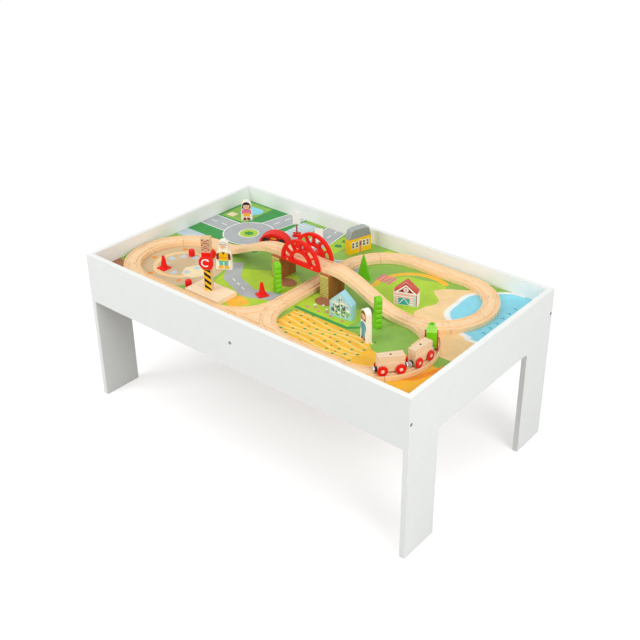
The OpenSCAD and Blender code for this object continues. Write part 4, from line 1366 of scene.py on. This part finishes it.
@dataclass
class Figure:
    """A flat wooden doll with a printed front and back."""

    node: str
    turn: float
    hair: Hair
    dress: Dress
    hair_ink: Finish
    top_ink: Finish
    sleeve_ink: Finish
    lower_ink: Finish
    shoe_ink: Finish
    head_share: float = 0.42
    neck_share: float = 0.62
    shoulder_share: float = 0.9
    ease: float = 1.1

    def __post_init__(self) -> None:
        """Measures the doll's node."""
        self.seat = Seat.of(self.node, self.turn)
        self.w, self.h = self.seat.width, self.seat.height

    def build(self) -> None:
        """Builds and dresses the doll."""
        block = Block(self.outline(), self.seat.depth, Coats.FIGURE, self.ease)
        block.front = self.clothes() + self.head(True)
        block.back = self.clothes() + self.head(False)
        block.stand_for(self.node, "figure_wood", self.seat, "printed")

    def outline(self) -> Outline:
        """Round head, round shoulders and a body that widens to the feet."""
        w, h = self.w, self.h
        head_r, shoulder_r, low = w * self.head_share, w / 4, h * self.neck_share - w / 4
        half = w * self.shoulder_share / 2
        stop = math.degrees(math.acos((head_r - half + shoulder_r) / shoulder_r))
        right = [(w / 2, 0.0), *arc(half - shoulder_r, low, shoulder_r, 0, stop, 6)]
        crown = arc(0, h - head_r, head_r, 0, 180, 20)
        left = [(-x, z) for x, z in reversed(right)]
        return right + crown + left

    def clothes(self) -> list[Region]:
        """Shoes, legs, dress, arms and top."""
        w, h = self.w, self.h
        waist, shoulder, hem = 0.4 * h, 0.605, self.dress.value * h
        leg = self.lower_ink if self.dress is Dress.TROUSERS else Inks.SKIN
        found = []
        for side in (-1, 1):
            found.append(Region(leg, rect(side * 0.03 * w, 0.1 * h, side * 0.27 * w, waist)))
            shoe = [(0.03, 0.03), (0.34, 0.03), (0.33, 0.08), (0.26, 0.15), (0.03, 0.15)]
            found.append(Region(self.shoe_ink, [(side * x * w, z * h) for x, z in shoe]))
            found.append(Region(Inks.SKIN, ellipse(side * 0.345 * w, 0.33 * h, 0.06 * w, count=10)))
            arm = [(side * 0.22 * w, 0.56 * h), (side * 0.35 * w, 0.5 * h), (side * 0.36 * w, 0.35 * h)]
            found.append(Region(self.sleeve_ink, ribbon(arm, 0.17 * w)))
        skirt = [(-0.31 * w, hem), (0.31 * w, hem), (0.25 * w, waist), (-0.25 * w, waist)]
        found.append(Region(self.lower_ink, skirt))
        low = 0.3 if self.dress is Dress.TROUSERS else 0.39
        top = [(-0.26, low), (0.26, low), (0.27, 0.56), (0.13, shoulder), (-0.13, shoulder), (-0.27, 0.56)]
        found.append(Region(self.top_ink, [(x * w, z * h) for x, z in top]))
        if self.hair is Hair.HELMET:
            neck = [(-0.11 * w, shoulder * h), (0, 0.5 * h), (0.11 * w, shoulder * h)]
            found.append(Region(Inks.BROWN, neck))
            found.append(Region(Inks.ORANGE, rect(-0.25 * w, 0.4 * h, 0.25 * w, 0.43 * h)))
        return found

    def head(self, with_face: bool) -> list[Region]:
        """Hair or helmet, and on the front a plain doll's face."""
        r = self.w * self.head_share
        middle = self.h - 1.12 * r
        found = [Region(self.hair_ink, ellipse(0, middle, 0.88 * r, 0.87 * r, 24))]
        if self.hair is Hair.LONG:
            found.append(Region(self.hair_ink, rect(-0.86 * r, middle - r, 0.86 * r, middle)))
        if self.hair is Hair.BOB:
            found.append(Region(self.hair_ink, rect(-0.93 * r, middle - 0.62 * r, 0.93 * r, middle)))
        if with_face:
            found.append(Region(Inks.SKIN, ellipse(0, middle - 0.16 * r, 0.68 * r, 0.64 * r, 24)))
            found.append(Region(self.hair_ink, arc(0, middle - 0.05 * r, 0.74 * r, 20, 160, 10)))
            for x in (-r, r):
                eye = ellipse(0.24 * x, middle - 0.1 * r, 0.06 * r, 0.085 * r, 10)
                cheek = ellipse(0.4 * x, middle - 0.32 * r, 0.11 * r, count=10)
                found += [Region(Inks.BLACK, eye), Region(Inks.ROSE, cheek)]
            smile = arc(0, middle - 0.28 * r, 0.2 * r, 210, 330, 6)
            found.append(Region(Inks.MAROON, ribbon(smile, 0.06 * r)))
        if self.hair is Hair.HELMET:
            rim = ribbon(arc(0, middle, 0.8 * r, 0, 180, 12), 0.09 * r)
            peak = rect(-0.8 * r, middle + 0.24 * r, 0.8 * r, middle + 0.36 * r)
            found += inked(Inks.GREY, [rim, peak])
        return found


@dataclass
class Tree:
    """A flat wooden tree: a column of round lobes, or a point."""

    node: str
    turn: float
    lobes: int = 0
    tip: float = 2.8
    ease: float = 1.2

    def build(self) -> None:
        """Builds and dresses the tree."""
        seat = Seat.of(self.node, self.turn)
        outline, coat = (self.lobed(seat), Coats.GREEN) if self.lobes else (self.pointed(seat), Coats.FIR)
        block = Block(outline, seat.depth, coat, self.ease)
        block.stand_for(self.node, "tree_green", seat, "cut")

    def lobed(self, seat: Seat) -> Outline:
        """Lobes one above the other, cut flat at the foot."""
        r = seat.width / 2
        step = (seat.height - r) / (self.lobes - 0.5)
        half = math.degrees(math.asin(step / 2 / r))
        right = [(math.sqrt(r * r - step * step / 4), 0.0)]
        for i in range(self.lobes):
            end = 90 if i == self.lobes - 1 else half
            right += arc(0, step / 2 + i * step, r, -half, end, 9)[1:]
        return right + [(-x, z) for x, z in reversed(right[:-1])]

    def pointed(self, seat: Seat) -> Outline:
        """Straight sides up to a narrow tip."""
        half, tip, h = seat.width / 2, self.tip / 2, seat.height
        return [(-half, 0), (half, 0), (tip, h), (-tip, h)]


PanelShares = tuple[Finish, float, float, float]


@dataclass
class Houses:
    """Three wooden houses with painted sides and printed fronts."""

    blue_turn: float = 8.0
    blue_eave: float = 0.58
    barn_turn: float = 22.0
    barn_eave: float = 0.59
    long_turn: float = 74.0
    long_eave: float = 0.62
    edge: float = 1.6
    pane_edge: float = 4.0
    long_edge: float = 1.2
    door_lift: float = 0.1
    bar: float = 1.8
    brace: float = 1.6
    ease: float = 0.9

    def build(self) -> None:
        """Builds and dresses the houses."""
        self.glasshouse()
        self.barn()
        self.long_house()

    def gable(self, seat: Seat, eave: float) -> Outline:
        """A house front with a pointed roof."""
        w, h = seat.width, seat.height
        return [(-w / 2, 0), (w / 2, 0), (w / 2, eave * h), (0, h), (-w / 2, eave * h)]

    def panels(self, seat: Seat, middle: float, shares: Sequence[PanelShares]) -> list[Region]:
        """Upright panels, one on the other, on the front of a house.

        Args:
            seat: The house's own frame.
            middle: Place across the front, as a share of its width.
            shares: Ink, half width, foot and head of each panel, as shares of the front.

        Returns:
            One patch for each panel.
        """
        w, h = seat.width, seat.height
        return [
            Region(ink, rect((middle - half) * w, low * h, (middle + half) * w, high * h))
            for ink, half, low, high in shares
        ]

    def glasshouse(self) -> None:
        """Light blue house with plants behind white glazing bars."""
        seat = Seat.of("blue_house", self.blue_turn)
        outline = self.gable(seat, self.blue_eave)
        block = Block(outline, seat.depth, Coats.BLUE, self.ease)
        w, h, half_bar = seat.width, seat.height, self.bar / 2
        block.front = [Region(Inks.SKY, drawn_in(outline, self.pane_edge))]
        columns, rows, inset = 36, 12, 8
        for i in range(columns):
            x = -w / 2 + inset + (w - 2 * inset) * (i * 11 % columns) / (columns - 1)
            z = 7 + (h * (0.82 - abs(x) / w) - 13) * (i * 5 % rows) / (rows - 1)
            ink = (Inks.LEAF, Inks.GRASS, Inks.LINE, Inks.SLATE)[i % 4]
            block.front.append(Region(ink, blob(x, z, 2.4 + (i % 3), 4, 0.2, i)))
        foot = self.pane_edge + 0.2
        for x in (-w / 4, 0, w / 4):
            top = h * (self.blue_eave + (1 - self.blue_eave) * (1 - 2 * abs(x) / w)) - 6
            block.front.append(Region(Inks.LINE, rect(x - half_bar, foot, x + half_bar, top)))
        cross = rect(foot - w / 2, h * 0.55, w / 2 - foot, h * 0.55 + self.bar)
        block.front.append(Region(Inks.LINE, cross))
        block.stand_for("blue_house", "house_blue", seat, "printed")

    def barn(self) -> None:
        """Barn with a red roof, boarded walls, a round loft window and braced doors."""
        seat = Seat.of("barn", self.barn_turn)
        outline = self.gable(seat, self.barn_eave)
        w, h = seat.width, seat.height
        eave = self.barn_eave * h
        block = Block(outline, seat.depth, Coats.WHITE, self.ease)
        block.side_of = lambda spot: Coats.BARN if spot[1] > eave else Coats.WHITE
        e = self.edge
        rise = h - eave
        x, low = w / 2 - e, eave - 5.5
        roof = [(-x, eave + 0.5), (0, h - 1.9), (x, eave + 0.5), (x, low), (0, h - 9), (-x, low)]
        braces = [[(x_share * w, e + 1), (-0.07 * w, 0.29 * h)] for x_share in (-0.29, 0.15)]
        block.front = [Region(Inks.ROSE, rect(-x, e, x, eave - 6))]
        block.front += inked(Inks.LINE, [rect(-x, z, x, z + 2.6) for z in range(4, int(eave) - 8, 6)])
        block.front += [
            Region(Inks.MAROON, [(-0.33 * w, eave - 3), (0.33 * w, eave - 3), (0, eave - 3 + rise * 0.62)]),
            Region(Coats.BARN, roof),
            Region(Inks.LINE, ellipse(0, eave + 3.5, 6)),
            Region(Inks.ROSE, ellipse(0, eave + 3.5, 4)),
            Region(Inks.TEAL, rect(-0.3 * w, e, 0.16 * w, 0.3 * h)),
            *inked(Inks.LINE, [ribbon(brace, self.brace) for brace in braces]),
            Region(Inks.STONE, rect(0.3 * w, e, 0.42 * w, eave - 8)),
            Region(Inks.MAROON, rect(0.42 * w, e, 0.45 * w, eave - 8)),
        ]
        block.stand_for("barn", "barn_red", seat, "printed")

    def long_house(self) -> None:
        """Long yellow house under a broken grey roof, with windows beside a door."""
        seat = Seat.of("yellow_house", self.long_turn)
        w, h = seat.width, seat.height
        eave = self.long_eave * h
        knee = (w * 0.4, eave + (h - eave) * 0.85)
        ridge = w * 0.24
        right = [(w / 2, eave), knee, (ridge, h)]
        outline = [(-w / 2, 0), (w / 2, 0), *right, *((-x, z) for x, z in reversed(right))]
        block = Block(outline, seat.depth, Coats.YELLOW, self.ease)
        block.side_of = lambda spot: Coats.ROOF if spot[1] > eave else Coats.YELLOW
        e = self.long_edge
        slope = [(w / 2 - e, eave + 0.2), (knee[0] - e, knee[1] - e), (ridge, h - e)]
        roof = slope + [(-x, z) for x, z in reversed(slope)]
        face = [Region(Inks.GREY, roof)]
        window = (
            (Inks.LINE, 0.065, 0.22, 0.5),
            (Inks.SLATE, 0.045, 0.25, 0.47),
            (Inks.LINE, 0.045, 0.35, 0.37),
        )
        door = (
            (Inks.LINE, 0.075, e / h, 0.54),
            (Inks.ORANGE, 0.06, (e + self.door_lift) / h, 0.5),
            (Inks.SLATE, 0.035, 0.3, 0.46),
        )
        for x_share in (-0.33, -0.16, 0.16, 0.33):
            face += self.panels(seat, x_share, window)
        block.front = block.back = face + self.panels(seat, 0.0, door)
        block.stand_for("yellow_house", "house_yellow", seat, "printed")


@dataclass
class RoadPieces:
    """Road signs, red cones and red barrels."""

    sign_turn: float = 38.0
    sign_board_h: float = 35.0
    sign_foot_share: float = 0.12
    near_cone_turn: float = -24.0
    board_seam: float = 0.2
    sign_ease: float = 0.7
    cone_ease: float = 0.9

    def build(self) -> None:
        """Dresses the signs, cones and barrels."""
        for node in ("tall_sign", "small_sign"):
            seat = Seat.of(node, self.sign_turn)
            coats = [Coats.POLE, Coats.WHITE, Coats.RED]
            eased(node, coats, "sign_white", seat, self.sign_ease, 2, self.split(seat))
        for node in ("near_cone", "loop_cone", "back_barrel", "front_barrel"):
            turn = self.near_cone_turn if node == "near_cone" else 0.0
            eased(node, [Coats.RED], "red_paint", Seat.of(node, turn), self.cone_ease, 3)

    def split(self, seat: Seat) -> Chooser:
        """Parts a sign into its white board, brown pole and red foot."""
        board_z = seat.height - self.sign_board_h - self.board_seam
        foot_z = seat.height * self.sign_foot_share

        def pick(spots: list[Vector]) -> int:
            """The board is above the pole and the foot is below it."""
            heights = [p.z for p in spots]
            return 1 if min(heights) > board_z else 2 * int(max(heights) < foot_z)

        return pick


# Studio


@dataclass(frozen=True)
class Lamp:
    """A square soft light that looks at the table."""

    name: str
    spot: tuple[float, float, float]
    size: float
    power: float
    aim: tuple[float, float, float] = (0.0, 0.0, 0.35)

    def build(self) -> None:
        """Hangs the lamp."""
        data = bpy.data.lights.new(self.name, "AREA")
        data.size = self.size
        data.energy = self.power
        lamp = bpy.data.objects.new(self.name, data)
        lamp.location = self.spot
        lamp.rotation_mode = "QUATERNION"
        lamp.rotation_quaternion = (Vector(self.aim) - Vector(self.spot)).to_track_quat("-Z", "Y")
        bpy.context.scene.collection.objects.link(lamp)


@dataclass
class Studio:
    """White floor and background, soft light and the camera."""

    azimuth: float = 38.12
    elevation: float = 28.16
    roll: float = 0.53
    distance: float = 2.410
    target: tuple[float, float, float] = (0.0357, 0.1198, 0.3348)
    lens: float = 55.91
    shift: tuple[float, float] = (-0.0584, -0.0606)
    sensor: float = 36.0
    fill: float = 0.46
    floor_lift: float = 0.38
    floor_half: float = 1.8
    floor_drop: float = 0.5
    floor_seen: tuple[str, str] = ("F8F8F8", "FAFAFA")
    floor_bounce: str = "B4B4B4"
    floor_roughness: Point = (0.85, 0.95)
    lamps: tuple[Lamp, ...] = (
        Lamp("key_light", (-1.2, -2.6, 2.0), 2.2, 44.0),
        Lamp("side_light", (2.9, -0.7, 1.8), 2.0, 44.0),
        Lamp("top_light", (0.0, 0.0, 3.0), 3.0, 19.0),
    )

    def build(self) -> None:
        """Sets up the studio."""
        bpy.context.scene.view_settings.view_transform = "Standard"
        self.floor()
        self.sky()
        for lamp in self.lamps:
            lamp.build()
        self.camera()

    def floor(self) -> None:
        """A pale floor that keeps the shadow and is lifted to white for the camera."""
        half = self.floor_half
        mesh = bpy.data.meshes.new("studio_floor")
        mesh.from_pydata([(x, y, 0) for x, y in rect(-half, -half, half, half)], [], [(0, 1, 2, 3)])
        m = Mixer.fresh("studio_white")
        fine = m.noise(m.coords(), 260, 2)
        pale, white = (linear(code) for code in self.floor_seen)
        colour = m.ramp(m.noise(m.coords(), 3), (NOISE_LOW, pale), (NOISE_HIGH, white))
        seen = self.seen(m)
        colour = m.blend(seen, linear(self.floor_bounce), colour)
        m.finish(colour, m.span(fine, *self.floor_roughness), fine, 0.02, 0.2 * MM)
        m.feed(m.shader.inputs["Emission Color"], (1, 1, 1, 1))
        m.feed(m.shader.inputs["Emission Strength"], m.math("MULTIPLY", seen, self.floor_lift))
        mesh.materials.append(m.owner)
        floor = bpy.data.objects.new("studio_floor", mesh)
        bpy.context.scene.collection.objects.link(floor)
        floor.location.z = -self.floor_drop * MM

    def seen(self, m: Mixer) -> Socket:
        """One where a ray comes from the camera, a gloss or a glass."""
        path = m.add("ShaderNodeLightPath", {}).node.outputs
        mirrored = m.math("MAXIMUM", path["Is Glossy Ray"], path["Is Transmission Ray"])
        return m.math("MAXIMUM", path["Is Camera Ray"], mirrored)

    def sky(self) -> None:
        """Even light from all round, seen as white."""
        world = bpy.data.worlds.new("studio_sky")
        bpy.context.scene.world = world
        m = Mixer(world)
        glow = m.tree.nodes["Background"]
        glow.inputs["Color"].default_value = (1, 1, 1, 1)
        m.feed(glow.inputs["Strength"], m.span(self.seen(m), self.fill, 1.0, 0.0, 1.0))

    def camera(self) -> None:
        """The photograph's view of the table."""
        az, el, roll = (math.radians(a) for a in (self.azimuth, self.elevation, self.roll))
        back = Vector((math.sin(az) * math.cos(el), -math.cos(az) * math.cos(el), math.sin(el)))
        level = Vector((math.cos(az), math.sin(az), 0))
        above = back.cross(level)
        right = level * math.cos(roll) + above * math.sin(roll)
        up = back.cross(right)
        data = bpy.data.cameras.new("photo_view")
        data.lens = self.lens
        data.sensor_width = self.sensor
        data.shift_x, data.shift_y = self.shift
        camera = bpy.data.objects.new("photo_view", data)
        bpy.context.scene.collection.objects.link(camera)
        turn = Matrix((right, up, back)).transposed().to_4x4()
        camera.matrix_world = Matrix.Translation(Vector(self.target) + back * self.distance) @ turn
        bpy.context.scene.camera = camera


def figures() -> list[Figure]:
    """The three dolls, each with the inks of its hair, top, sleeves, lower dress and shoes."""
    girl = (Inks.BLACK, Inks.PINK, Inks.PINK, Inks.CORN, Inks.MAROON)
    worker = (Inks.LINE, Inks.YELLOW, Inks.MAROON, Inks.MINT, Inks.CORN)
    lady = (Inks.BROWN, Inks.DEEP, Inks.DEEP, Inks.DEEP, Inks.BROWN)
    return [
        Figure("girl_figure", 40.0, Hair.BOB, Dress.SKIRT, *girl),
        Figure("worker_figure", 33.0, Hair.HELMET, Dress.TROUSERS, *worker, head_share=0.29),
        Figure("lady_figure", -25.0, Hair.LONG, Dress.GOWN, *lady),
    ]


def trees() -> list[Tree]:
    """Two poplars and a pointed tree."""
    return [Tree("left_poplar", -23.0, 6), Tree("right_poplar", -33.0, 6), Tree("pointed_tree", 38.0)]


def main() -> None:
    """Builds every sub-assembly in order."""
    logging.basicConfig(level=logging.INFO)
    table = [Studio(), TableFrame(), PlayBoard(), Railway(), Bridge(), Crane()]
    toys = [Train(), Car(), *figures(), *trees(), Houses(), RoadPieces()]
    for assembly in table + toys:
        assembly.build()
        LOG.info("%s is built", type(assembly).__name__)


if __name__ == "__main__":
    main()
